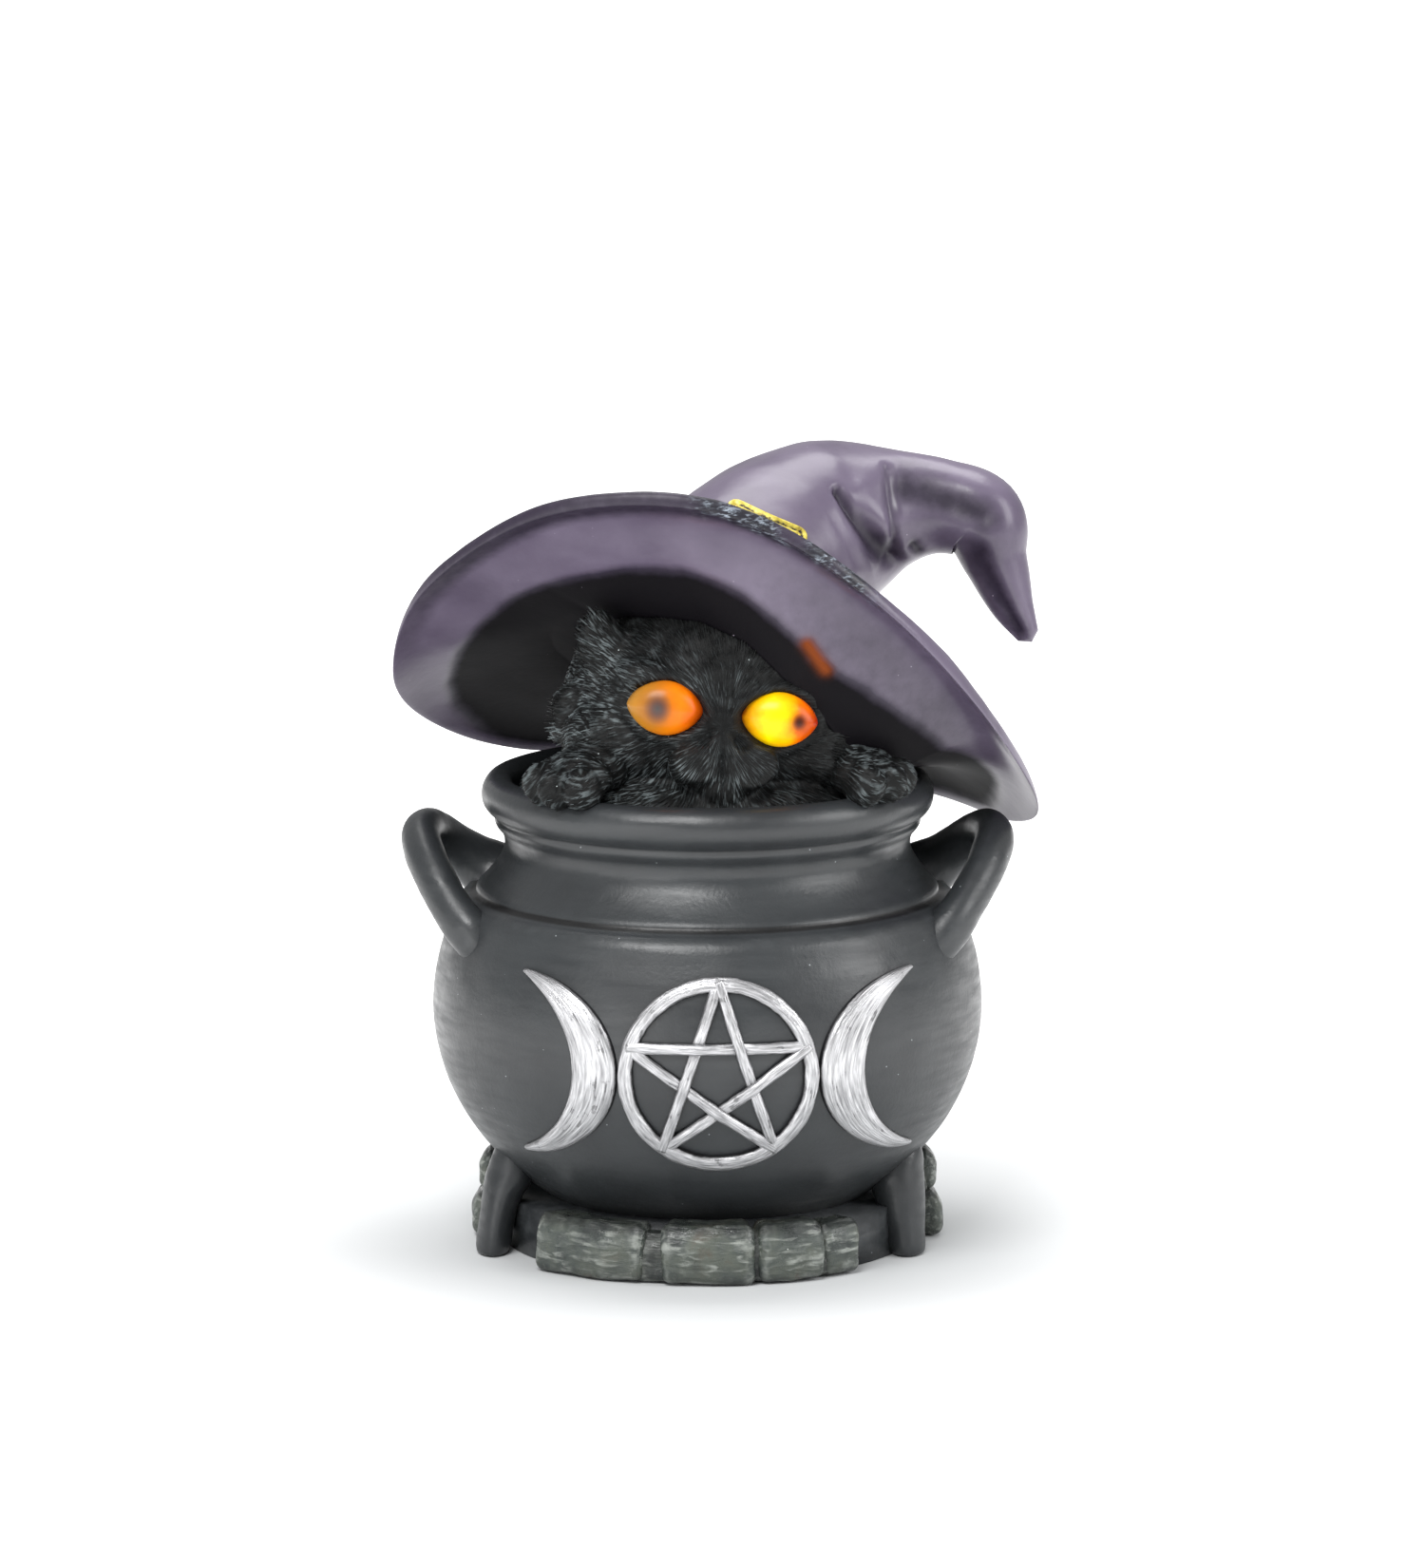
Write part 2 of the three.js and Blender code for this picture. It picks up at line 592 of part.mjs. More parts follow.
const boxBack = box.front + box.depth;
const coverFront = box.front + cover.inset;
const coverTop = box.bottom + cover.thickness;
const cellY = box.front + box.wall + gap + cell.radius;
const cellZ = coverTop + gap + cell.radius;
const chamberTop = cellZ + cell.radius + gap;
const sliderY = boxBack - box.wall - gap - slider.width / 2;
const cellRight = chamber.right - 2 * gap - contact.thickness;

const boxPlan = (grow) =>
  roundedRectangle(-box.half - grow, box.half + grow, box.front - grow, boxBack + grow, box.corner);
const boxPrism = (grow, z0, z1) =>
  new THREE.ExtrudeGeometry(boxPlan(grow), { depth: z1 - z0, bevelEnabled: false, curveSegments: 4 }).translate(
    0,
    0,
    z0,
  );

// The hole through stones and cauldron floor that the battery box sits in.
const batteryBay = boxPrism(gap, 0, box.top + gap);

function batteryBox() {
  const cells = block(
    chamber.left,
    chamber.right,
    box.front + box.wall,
    box.front + box.wall + chamber.depth,
    0,
    chamberTop,
  );
  const lid = block(
    -cover.half - gap,
    cover.half + gap,
    coverFront - gap,
    coverFront + cover.depth + gap,
    0,
    coverTop + gap,
  );
  const sliderHalf = slider.length / 2 + gap;
  const pocket = block(
    -sliderHalf,
    sliderHalf,
    sliderY - slider.width / 2 - gap,
    sliderY + slider.width / 2 + gap,
    box.bottom + box.wall,
    box.top + 1,
  );
  const knobSlot = block(
    -slider.knob / 2 - gap,
    slider.knob / 2 + slider.travel + gap,
    sliderY - slider.knobWidth / 2 - gap,
    sliderY + slider.knobWidth / 2 + gap,
    0,
    box.bottom + box.wall + 1,
  );
  const tabSlots = [cellRight + gap, chamber.left + gap].map((x) =>
    block(
      x - gap,
      x + contact.thickness + gap,
      cellY - contact.tab / 2 - gap,
      cellY + contact.tab / 2 + gap,
      chamberTop - 1,
      box.top + 1,
    ),
  );
  const screwHole = post(screw.x, cellY, 0, boss.top, boss.radius, 16);
  return largest(cut(boxPrism(0, box.bottom, box.top), cells, lid, pocket, knobSlot, ...tabSlots, screwHole));
}

function batteryCover() {
  const plate = block(-cover.half, cover.half, coverFront, coverFront + cover.depth, box.bottom, coverTop);
  const hole = post(screw.x, cellY, 0, coverTop + 1, screw.shaft + gap, 16);
  const headSeat = post(screw.x, cellY, 0, box.bottom + screw.headRise + screw.headHeight + 0.3, screw.head + gap);
  const grips = [-1.6, 0, 1.6].map((x) => block(x - 9.4, x - 8.8, cellY - 3, cellY + 3, 0, box.bottom + 0.3));
  return cut(plate, hole, headSeat, ...grips);
}

function coverScrew() {
  const bottom = box.bottom + screw.headRise;
  const body = turned(
    [
      [0, bottom],
      [screw.head, bottom],
      [screw.head, bottom + screw.headHeight],
      [screw.shaft, bottom + screw.headHeight],
      [screw.shaft, bottom + screw.length - 0.6],
      [0, bottom + screw.length],
    ],
    16,
  ).translate(screw.x, cellY, 0);
  const [slot, deep] = [screw.slot / 2, bottom + screw.headHeight * 0.5];
  const along = block(screw.x - 1.4, screw.x + 1.4, cellY - slot, cellY + slot, 0, deep);
  const across = block(screw.x - slot, screw.x + slot, cellY - 1.4, cellY + 1.4, 0, deep);
  return cut(body, along, across);
}

function buttonCell(i) {
  const [r, length, edge] = [cell.radius, cell.length, 0.5];
  const profile = [
    [0, 0],
    [r - 1.2, 0],
    [r - 1, edge],
    [r - edge, edge],
    [r, 2 * edge],
    [r, length - edge],
    [r - edge, length],
    [0, length],
  ];
  const left = cellRight - (i + 1) * (cell.length + cell.spacing) + cell.spacing;
  return turned(profile, 20).rotateY(Math.PI / 2).translate(left, cellY, cellZ);
}

const contactPlate = (x) =>
  join(
    block(
      x,
      x + contact.thickness,
      cellY - contact.width / 2,
      cellY + contact.width / 2,
      cellZ - contact.height / 2,
      cellZ + contact.height / 2,
    ),
    block(
      x,
      x + contact.thickness,
      cellY - contact.tab / 2,
      cellY + contact.tab / 2,
      cellZ,
      box.top + 0.1,
    ),
  );

const plateContact = () => contactPlate(cellRight + gap);

// The negative contact ends in a conical spring that presses on the first cell.
function springContact() {
  const x = chamber.left + gap;
  const cells = cell.count * cell.length + (cell.count - 1) * cell.spacing;
  const reach = cellRight - cells - gap - x - contact.springWire;
  const points = [];
  const perTurn = 8;
  const last = contact.springTurns * perTurn;
  for (let i = 0; i <= last; i++) {
    const a = (2 * Math.PI * i) / perTurn;
    const r = 3.6 - (1.6 * i) / last;
    const start = contact.thickness * 0.5;
    points.push(v3(x + start + ((reach - start) * i) / last, cellY + r * Math.cos(a), cellZ + r * Math.sin(a)));
  }
  return largest(join(contactPlate(x), roundTube(points, contact.springWire, 26, 5)));
}

function switchHousing() {
  const bottom = box.bottom + box.wall + gap;
  const half = slider.length / 2;
  const [y0, y1] = [sliderY - slider.width / 2, sliderY + slider.width / 2];
  const body = block(-half, half, y0, y1, bottom, bottom + slider.height);
  const slot = block(
    -slider.knob / 2 - gap,
    slider.knob / 2 + slider.travel + gap,
    sliderY - slider.knobWidth / 2 - gap,
    sliderY + slider.knobWidth / 2 + gap,
    bottom - 1,
    bottom + 1.8,
  );
  return cut(body, slot);
}

function switchKnob() {
  const top = box.bottom + box.wall + gap + 1.8 - gap;
  const low = box.bottom - slider.reach;
  const half = slider.knob / 2;
  const [y0, y1] = [sliderY - slider.knobWidth / 2, sliderY + slider.knobWidth / 2];
  const stalk = block(-half, half, y0, y1, low, top);
  const ribs = [-0.55, 0.55].map((x) => block(x - 0.15, x + 0.15, y0 - 1, y1 + 1, 0, low + 0.3));
  return cut(stalk, ...ribs);
}

const boardBottom = box.top + gap;
const boardTop = boardBottom + board.thickness;

function circuitBoard() {
  const plate = block(-board.half, board.half, board.front, board.front + board.depth, boardBottom, boardTop);
  const holes = [-1, 1].map((s) => post(s * 7.4, board.front + 1.6, 0, boardTop + 1, 0.8, 12));
  return cut(plate, ...holes);
}

function resistor(side) {
  const body = turned(
    [
      [0, -1.8],
      [0.75, -1.8],
      [0.9, -1.2],
      [0.9, 1.2],
      [0.75, 1.8],
      [0, 1.8],
    ],
    12,
  );
  return body.rotateX(Math.PI / 2).translate(side * board.pad * 1.5, board.front + 5, boardTop + 0.9 + gap);
}

// ---------------------------------------------------------------- LEDs and their leads

const ledFront = (side) => eyeCentre(side).y + eye.back + 2 * gap;

function ledBulb(side) {
  const c = eyeCentre(side);
  const r = led.radius;
  const profile = [[0, 0]];
  for (let a = 30; a <= 90; a += 20) profile.push([r * Math.sin(deg(a)), r * (1 - Math.cos(deg(a)))]);
  profile.push([r, led.length - 1.2], [led.flange, led.length - 1.2], [led.flange, led.length], [0, led.length]);
  const body = turned(profile, 14).rotateX(-Math.PI / 2).translate(c.x, ledFront(side), c.z);
  const back = ledFront(side) + led.length;
  const pins = [-0.5, 0.5].map((s) => {
    const x = c.x + s * led.pitch;
    return block(x - led.pin, x + led.pin, back - 0.5, back + led.pinLength, c.z - led.pin, c.z + led.pin);
  });
  return join(body, ...pins);
}

// A lead runs from its pad on the board up through the hollow figure to a pin of an LED.
function ledLead(side, pole) {
  const c = eyeCentre(side);
  const pin = v3(c.x + (pole * led.pitch) / 2, ledFront(side) + led.length + led.pinLength + gap, c.z);
  const x = side * board.pad + pole * 0.9;
  const y = board.front + board.depth - 2.4;
  const points = [
    v3(x, y, boardTop + gap),
    v3(x, y, boardTop + 5),
    v3(x * 1.5, y - 6, 38),
    v3(x * 1.2 + 1, y - 9, 56),
    v3(pin.x, pin.y + 7.5, 72),
    v3(pin.x, pin.y + 5, pin.z - 5),
    v3(pin.x, pin.y + 2.4, pin.z - 0.6),
    pin,
  ];
  return roundTube(points, lead.radius, lead.steps, lead.sides);
}

// ---------------------------------------------------------------- paints and the figure

const finish = (color, roughness, metalness = 0) => new THREE.MeshStandardMaterial({ color, roughness, metalness });
const blackResin = finish("#2b2c2e", 0.42);
const stonePaint = finish("#6b6f6a", 0.5);
const silverPaint = finish("#b6b7ba", 0.36, 0.7);
const purplePaint = finish("#5f5568", 0.38);
const goldPaint = finish("#d8c64a", 0.35, 0.6);
const furPaint = finish("#191a1b", 0.6);
const amber = finish("#f9a01b", 0.12);
const feltCloth = finish("#22221f", 0.95);
const blackPlastic = finish("#1c1c1d", 0.5);
const steel = finish("#b9bbbd", 0.3, 1);
const clearEpoxy = finish("#f3e7c0", 0.1);
const boardLacquer = finish("#2f6b3c", 0.45);
const redPlastic = finish("#b3261e", 0.5);

const figure = new THREE.Group();

function add(name, geometry, material, place = figure) {
  const mesh = new THREE.Mesh(geometry, material);
  mesh.name = name;
  place.add(mesh);
}

const feet = {
  foot_front_left: castFoot(-foot.bearing),
  foot_front_right: castFoot(foot.bearing),
  foot_back: castFoot(180),
};
const sides = { left: -1, right: 1 };
const hat = cut(hatBlock, grown(bustBlock), potSeat);
const ribbon = hatBand();

add("stone_plinth", stonePlinth(Object.values(feet)), stonePaint);
add("base_felt", baseFelt(Object.values(feet)), feltCloth);
add("cauldron_body", cauldronBody(), blackResin);
Object.entries(feet).forEach(([name, geometry]) => add(name, geometry, blackResin));
add("pentacle", pentacle(), silverPaint);
add("kitten_bust", kittenBust(), furPaint);
add("witch_hat", largest(hat), purplePaint);
add("hat_band", ribbon, goldPaint);
add("hat_buckle", hatBuckle(ribbon), goldPaint);

for (const [name, side] of Object.entries(sides)) {
  add(`handle_${name}`, largest(cut(earHandle(side), grown(hat))), blackResin);
  add(`crescent_${name}`, crescentMoon(side), silverPaint);
  add(`paw_${name}`, kittenPaw(side < 0 ? paw.left : paw.right, hat), furPaint);
  add(`eye_lens_${name}`, eyeLens(side), amber);
  add(`led_${name}`, ledBulb(side), clearEpoxy);
  add(`led_lead_red_${name}`, ledLead(side, -1), redPlastic);
  add(`led_lead_black_${name}`, ledLead(side, 1), blackPlastic);
  add(`resistor_${name}`, resistor(side), feltCloth);
}

add("battery_box", batteryBox(), blackPlastic);
add("battery_cover", batteryCover(), blackPlastic);
add("cover_screw", coverScrew(), steel);
for (let i = 0; i < cell.count; i++) add(`button_cell_${i + 1}`, buttonCell(i), steel);
add("contact_plate", plateContact(), steel);
add("contact_spring", springContact(), steel);
add("switch_housing", switchHousing(), steel);
add("switch_knob", switchKnob(), blackPlastic);
add("circuit_board", circuitBoard(), boardLacquer);

export default figure;
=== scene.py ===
"""Looks of a light-up resin figure: a kitten in a cauldron under a floppy hat, on a ring of stones.

Shapes are worked out in millimetres and become metres when a mesh is made. Front is -Y, up is +Z.
"""
import math

import bmesh
import bpy
import numpy as np
from mathutils import Matrix, Vector, noise


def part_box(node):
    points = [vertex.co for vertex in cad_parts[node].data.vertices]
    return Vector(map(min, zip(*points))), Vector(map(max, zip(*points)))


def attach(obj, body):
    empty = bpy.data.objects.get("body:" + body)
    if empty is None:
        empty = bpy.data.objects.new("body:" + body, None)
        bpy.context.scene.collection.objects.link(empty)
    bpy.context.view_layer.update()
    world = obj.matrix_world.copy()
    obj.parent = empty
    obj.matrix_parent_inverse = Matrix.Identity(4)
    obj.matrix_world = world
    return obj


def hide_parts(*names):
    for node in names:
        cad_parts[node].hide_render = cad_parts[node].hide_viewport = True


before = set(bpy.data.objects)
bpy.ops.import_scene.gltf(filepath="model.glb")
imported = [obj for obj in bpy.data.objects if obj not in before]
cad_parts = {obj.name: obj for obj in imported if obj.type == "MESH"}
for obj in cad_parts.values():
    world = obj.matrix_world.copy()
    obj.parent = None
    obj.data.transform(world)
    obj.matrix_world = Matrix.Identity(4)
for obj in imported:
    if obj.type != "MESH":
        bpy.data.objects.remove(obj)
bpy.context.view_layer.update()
MM = 0.001

# ---------------------------------------------------------------- sizes of the figure, in mm

BELLY = {"radius": 42.1, "widest": 36.3, "drop": 35.5, "rise": 38.0, "floor": 6.0, "shoulder": 53.5}
NECK = {"radius": 31.0, "waist": 61.3, "step": 0.7}
LIP_TOP = 72.1
BAY = {"x": 14.85, "front": 6.15, "back": 27.75, "top": 17.25}
RING = {"radius": 36.6, "inner": 29.3, "bed": 31.4, "felt": 28.8, "recess": 1.35}
EMBLEM = {"x": 1.6, "z": 33.2, "ring": 13.8, "ring_width": 2.15, "bar": 1.75, "relief": 1.05}
MOON = {"height": 28.4, "bulge": 14.8, "hollow": 7.9, "near": 14.95}
HEAD = {"centre": (2.2, -6.5, 84.5), "radii": (24.0, 20.4, 18.2)}
BRIDGE = (2.4, -27.5, 83.6)          # where the combed fur of the face parts
EYE = {"width": 11.6, "height": 8.3, "dome": 2.9, "tilt": 6.0}
CROWN = {"x": 2.4, "y": 0.8, "z": 90.7, "half_width": 26.0, "half_depth": 19.6, "pitch": 10.6, "roll": -3.4}
BRIM = {"half": 1.75, "roll": 0.2, "lift": 3.4, "throat": -4.0}
# The brim's edge from the raised front round by the right, and the bent spine of the cone with its radii.
BRIM_EDGE = [
    (-8, -34.5, 118.1), (9, -34.5, 114.1), (27, -31, 101.2), (41, -20, 84.8), (50.2, -3, 68.2),
    (47.4, 14, 61.9), (36, 29, 63.2), (16, 38.3, 66.8), (-8, 38.8, 69.1), (-29, 31, 70.2),
    (-43.2, 17, 77.2), (-47.9, -1, 87.5), (-43, -14, 101.8), (-27, -28, 114.6),
]
CONE = [
    (2.8, 4.2, 92.6, 21.4), (8.3, 10, 101.3, 16.6), (14.6, 14.5, 105.9, 14.6), (21.5, 16.8, 108.4, 12.8),
    (29.5, 17.2, 110.3, 9.0), (36.5, 16.8, 110.4, 7.2), (42.0, 16, 108.4, 6.8), (44.3, 15, 102.1, 5.0),
    (46.7, 13.8, 96.0, 3.6), (49.3, 12.7, 91.0, 1.9),
]
# How far the underside of the brim comes in at the front and right: (turn from the front, x, y, z).
COME_IN = [
    (-0.12, 0, 0, 0), (-0.05, -1, 0.5, -1.5), (0.0, 0, -1.5, -2.0), (0.055, -2.5, -4.5, -3.2),
    (0.125, -5.4, -10.0, -7.0), (0.195, -5.6, -12.5, -11.0), (0.26, -4, -14, -13), (0.33, -2, -9, -8),
    (0.42, 0, 0, 0),
]


# ---------------------------------------------------------------- shape helpers

def ease(start, end, value):
    """0 before start, 1 after end, smooth between them."""
    share = np.clip((np.asarray(value, float) - start) / (end - start), 0, 1)
    return share * share * (3 - 2 * share)


def hump(value, middle, width):
    return np.exp(-(((np.asarray(value, float) - middle) / width) ** 2))


def through(points, count, closed=False):
    """Points evenly spaced along a smooth curve through the given ones. Extra columns go along."""
    p = np.array(points, float)
    around = np.vstack([p[-1], p, p[0], p[1]]) if closed else np.vstack([2 * p[0] - p[1], p, 2 * p[-1] - p[-2]])
    t = np.linspace(0, 1, 24, endpoint=False)[:, None]
    fine = []
    for i in range(len(p) if closed else len(p) - 1):
        a, b, c, d = around[i : i + 4]
        fine.append(
            0.5 * (2 * b + (c - a) * t + (2 * a - 5 * b + 4 * c - d) * t ** 2 + (3 * b - a - 3 * c + d) * t ** 3)
        )
    fine = np.vstack(fine + [p[:1] if closed else p[-1:]])
    run = np.concatenate([[0], np.cumsum(np.linalg.norm(np.diff(fine, axis=0), axis=1))])
    at = np.linspace(0, run[-1], count, endpoint=not closed)
    return np.column_stack([np.interp(at, run, fine[:, k]) for k in range(fine.shape[1])])


def lumps(points, size, seed=0):
    """Smooth unevenness from -1 to 1, with lumps of about that size in mm."""
    shift = Vector((seed * 7.3, seed * 3.1, seed * 5.7))
    return np.array([noise.noise(Vector(p) / size + shift) for p in points])


def from_segment(points, a, b):
    """Distance of each point from the stretch a to b, and how far along it the nearest place is."""
    a, b = np.array(a, float), np.array(b, float)
    share = np.clip((points - a) @ (b - a) / ((b - a) @ (b - a)), 0, 1)
    return np.linalg.norm(points - (a + share[:, None] * (b - a)), axis=1), share


def points_of(obj):
    co = np.empty(len(obj.data.vertices) * 3, np.float32)
    obj.data.vertices.foreach_get("co", co)
    return co.reshape(-1, 3).astype(float) / MM


def normals_of(obj):
    n = np.empty(len(obj.data.vertices) * 3, np.float32)
    obj.data.vertices.foreach_get("normal", n)
    return n.reshape(-1, 3).astype(float)


def set_points(obj, points):
    obj.data.vertices.foreach_set("co", (points * MM).astype(np.float32).ravel())
    obj.data.update()


def push_out(obj, by):
    set_points(obj, points_of(obj) + normals_of(obj) * np.asarray(by)[:, None])


def edges_of(obj):
    e = np.empty(len(obj.data.edges) * 2, np.int32)
    obj.data.edges.foreach_get("vertices", e)
    return e.reshape(-1, 2)


def neighbour_mean(values, edges):
    total = np.zeros_like(values)
    count = np.zeros(len(values))
    for a, b in ((0, 1), (1, 0)):
        np.add.at(total, edges[:, a], values[edges[:, b]])
        np.add.at(count, edges[:, a], 1)
    return total / count.reshape((-1,) + (1,) * (values.ndim - 1))


def soften(obj, rounds, where=None):
    """Relaxes a surface, everywhere or by a weight for each point."""
    points, edges = points_of(obj), edges_of(obj)
    weight = 0.5 if where is None else 0.5 * where[:, None]
    for _ in range(rounds):
        points = points + weight * (neighbour_mean(points, edges) - points)
    set_points(obj, points)


def store(obj, name, values):
    """Keeps one number, or one vector, for each point of a mesh, for its finish to read."""
    values = np.asarray(values, np.float32)
    kind = "FLOAT" if values.ndim == 1 else "FLOAT_VECTOR"
    attribute = obj.data.attributes.get(name) or obj.data.attributes.new(name, kind, "POINT")
    attribute.data.foreach_set("value" if values.ndim == 1 else "vector", values.ravel())


def mark_relief(obj, full=0.08, blur=2):
    """Stores how far each point stands proud of its neighbours, from 0 in a hollow to 1 on a ridge."""
    points, edges = points_of(obj), edges_of(obj)
    proud = np.einsum("ij,ij->i", points - neighbour_mean(points, edges), normals_of(obj))
    for _ in range(blur):
        proud = 0.4 * proud + 0.6 * neighbour_mean(proud, edges)
    store(obj, "relief", np.clip(0.5 + 0.5 * proud / full, 0, 1))


def new_piece(name, points, faces, finish=None):
    """A smooth closed mesh with its faces outwards."""
    mesh = bpy.data.meshes.new(name)
    mesh.from_pydata((np.asarray(points, float) * MM).tolist(), [], [list(map(int, f)) for f in faces])
    obj = bpy.data.objects.new(name, mesh)
    bpy.context.scene.collection.objects.link(obj)
    face_outwards(obj)
    if finish:
        mesh.materials.append(finish)
    return obj


def face_outwards(obj, merge=1e-7):
    shape = bmesh.new()
    shape.from_mesh(obj.data)
    bmesh.ops.remove_doubles(shape, verts=shape.verts, dist=merge)
    bmesh.ops.recalc_face_normals(shape, faces=shape.faces)
    for f in shape.faces:
        f.smooth = True
    shape.to_mesh(obj.data)
    shape.free()
    obj.data.update()


def skin_faces(rows, columns, first=0):
    """Quads of a tube of rows by columns points, numbered from first."""
    faces = []
    for i in range(rows - 1):
        for k in range(columns):
            n = (k + 1) % columns
            a = first + i * columns
            faces.append((a + k, a + n, a + columns + n, a + columns + k))
    return faces


def skin(name, rings, poles=(None, None), finish=None):
    """A closed skin over rings of equally many points, each end closed round a pole."""
    rings = np.asarray(rings, float)
    rows, columns = rings.shape[:2]
    points = rings.reshape(-1, 3)
    faces = skin_faces(rows, columns)
    for end, ring in ((0, 0), (1, rows - 1)):
        pole = poles[end] if poles[end] is not None else rings[ring].mean(0)
        points = np.vstack([points, pole])
        for k in range(columns):
            pair = (ring * columns + k, ring * columns + (k + 1) % columns)
            faces.append((*(pair[::-1] if end == 0 else pair), len(points) - 1))
    return new_piece(name, points, faces, finish)


def tube(name, rings, closed, finish):
    """A strip of equal sections, joined end to end or capped."""
    rings = np.asarray(rings, float)
    rows, columns = rings.shape[:2]
    faces = skin_faces(rows, columns)
    last = (rows - 1) * columns
    if closed:
        faces += [(last + k, last + (k + 1) % columns, (k + 1) % columns, k) for k in range(columns)]
    else:
        faces += [tuple(range(columns))[::-1], tuple(last + k for k in range(columns))]
    return new_piece(name, rings.reshape(-1, 3), faces, finish)


def lathe(name, profile, columns, finish=None):
    """A turned body from (radius, height) points; its first and last points lie on the axis."""
    turn = 2 * np.pi * np.arange(columns) / columns
    rings = [
        np.column_stack([r * np.sin(turn), -r * np.cos(turn), np.full(columns, z)])
        for r, z in profile[1:-1]
    ]
    poles = [(0, 0, profile[i][1]) for i in (0, -1)]
    return skin(name, rings, poles, finish)


def joined(name, parts):
    """Several objects as one mesh."""
    with bpy.context.temp_override(active_object=parts[0], selected_editable_objects=parts):
        bpy.ops.object.join()
    parts[0].name = name
    return parts[0]


def egg(centre, radii, turn=(0, 0, 0), fineness=4):
    """A ball stretched to an egg and turned by degrees about X, Y and Z."""
    shape = bmesh.new()
    bmesh.ops.create_icosphere(shape, subdivisions=fineness, radius=1)
    mesh = bpy.data.meshes.new("egg")
    shape.to_mesh(mesh)
    shape.free()
    turned = Matrix.Rotation(math.radians(turn[2]), 4, "Z") @ Matrix.Rotation(math.radians(turn[1]), 4, "Y")
    turned = turned @ Matrix.Rotation(math.radians(turn[0]), 4, "X")
    place = Matrix.Translation(Vector(centre) * MM) @ turned @ Matrix.Diagonal([*(Vector(radii) * MM), 1])
    mesh.transform(place)
    obj = bpy.data.objects.new("egg", mesh)
    bpy.context.scene.collection.objects.link(obj)
    return obj


def plain_mesh(obj):
    """Replaces an object's mesh by what its modifiers make of it, and removes them."""
    depsgraph = bpy.context.evaluated_depsgraph_get()
    made = bpy.data.meshes.new_from_object(
        obj.evaluated_get(depsgraph), preserve_all_data_layers=True, depsgraph=depsgraph,
    )
    obj.modifiers.clear()
    obj.data = made
    return obj


def moulded(name, parts, grain, finish, rounds=3):
    """Lumps of clay joined as one closed skin, with facets of about grain mm."""
    obj = joined(name, parts)
    remesh = obj.modifiers.new("clay", "REMESH")
    remesh.mode = "VOXEL"
    remesh.voxel_size = grain * MM
    plain_mesh(obj)
    face_outwards(obj)
    soften(obj, rounds)
    obj.data.materials.clear()
    obj.data.materials.append(finish)
    return obj


def cut_bay(obj):
    """Cuts the opening for the battery box through a casting's underside."""
    size = (2 * BAY["x"], BAY["back"] - BAY["front"], BAY["top"] + 4)
    shape = bmesh.new()
    bmesh.ops.create_cube(shape, size=1)
    mesh = bpy.data.meshes.new("bay")
    shape.to_mesh(mesh)
    shape.free()
    middle = Vector((0, (BAY["front"] + BAY["back"]) / 2, (BAY["top"] - 4) / 2)) * MM
    mesh.transform(Matrix.Translation(middle) @ Matrix.Diagonal([*(Vector(size) * MM), 1]))
    tool = bpy.data.objects.new("bay", mesh)
    bpy.context.scene.collection.objects.link(tool)
    cut = obj.modifiers.new("bay", "BOOLEAN")
    cut.object = tool
    cut.solver = "EXACT"
    plain_mesh(obj)
    bpy.data.objects.remove(tool)


def seat(obj, body, slot, *nodes):
    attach(obj, body)
    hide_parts(*nodes)


# ---------------------------------------------------------------- finishes

def linear(hex_colour):
    """An sRGB hex colour as linear light."""
    channels = [int(hex_colour[i : i + 2], 16) / 255 for i in (1, 3, 5)]
    return [c / 12.92 if c <= 0.04045 else ((c + 0.055) / 1.055) ** 2.4 for c in channels] + [1.0]


# Kinds of node that the finishes use again and again.
NOISE = "ShaderNodeTexNoise"
MATHS = "ShaderNodeMath"
RAMP = "ShaderNodeValToRGB"
MIX = "ShaderNodeMix"
BUMP = "ShaderNodeBump"
STORED = "ShaderNodeAttribute"
PLACED = "ShaderNodeMapping"


def add(tree, kind, inputs=None, stops=(), **settings):
    """Adds a node with its settings and links.

    An input is a value, a hex colour, another node's output, or a node for its first output. Stops fill a ramp.
    """
    made = tree.nodes.new(kind)
    for key, value in settings.items():
        setattr(made, key, value)
    if stops:
        band = made.color_ramp
        while len(band.elements) < len(stops):
            band.elements.new(0.5)
        for element, (position, colour) in zip(band.elements, stops):
            element.position = position
            element.color = linear(colour) if isinstance(colour, str) else (colour, colour, colour, 1)
    for key, value in (inputs or {}).items():
        if isinstance(value, bpy.types.Node):
            value = value.outputs[0]
        if isinstance(value, bpy.types.NodeSocket):
            tree.links.new(value, made.inputs[key])
        else:
            is_colour = isinstance(value, str) and value.startswith("#")
            made.inputs[key].default_value = linear(value) if is_colour else value
    return made


def pattern(at, size, detail=3):
    """Inputs of a noise pattern on coordinates in metres, with lumps of that size in mm."""
    return {"Vector": at, "Scale": per_mm(size), "Detail": detail, "Roughness": 0.55}


def per_mm(size):
    """Noise scale on coordinates in metres for a pattern of that size in mm."""
    return 1 / (size * MM)


def blank_finish(name):
    material = bpy.data.materials.new(name)
    material.use_nodes = True
    material.node_tree.nodes.clear()
    return material, material.node_tree


def specks(tree, spacing, radius, share):
    """1 on small scattered dots: dust and flecks of light paint."""
    here = add(tree, "ShaderNodeTexCoord").outputs["Object"]
    dots = add(tree, "ShaderNodeTexVoronoi", {"Vector": here, "Scale": per_mm(spacing)})
    near = add(tree, MATHS, {0: dots.outputs["Distance"], 1: radius / spacing}, operation="LESS_THAN")
    parted = add(tree, "ShaderNodeSeparateColor", {"Color": dots.outputs["Color"]})
    chosen = add(tree, MATHS, {0: parted.outputs[0], 1: share}, operation="LESS_THAN")
    return add(tree, MATHS, {0: near, 1: chosen}, operation="MULTIPLY")


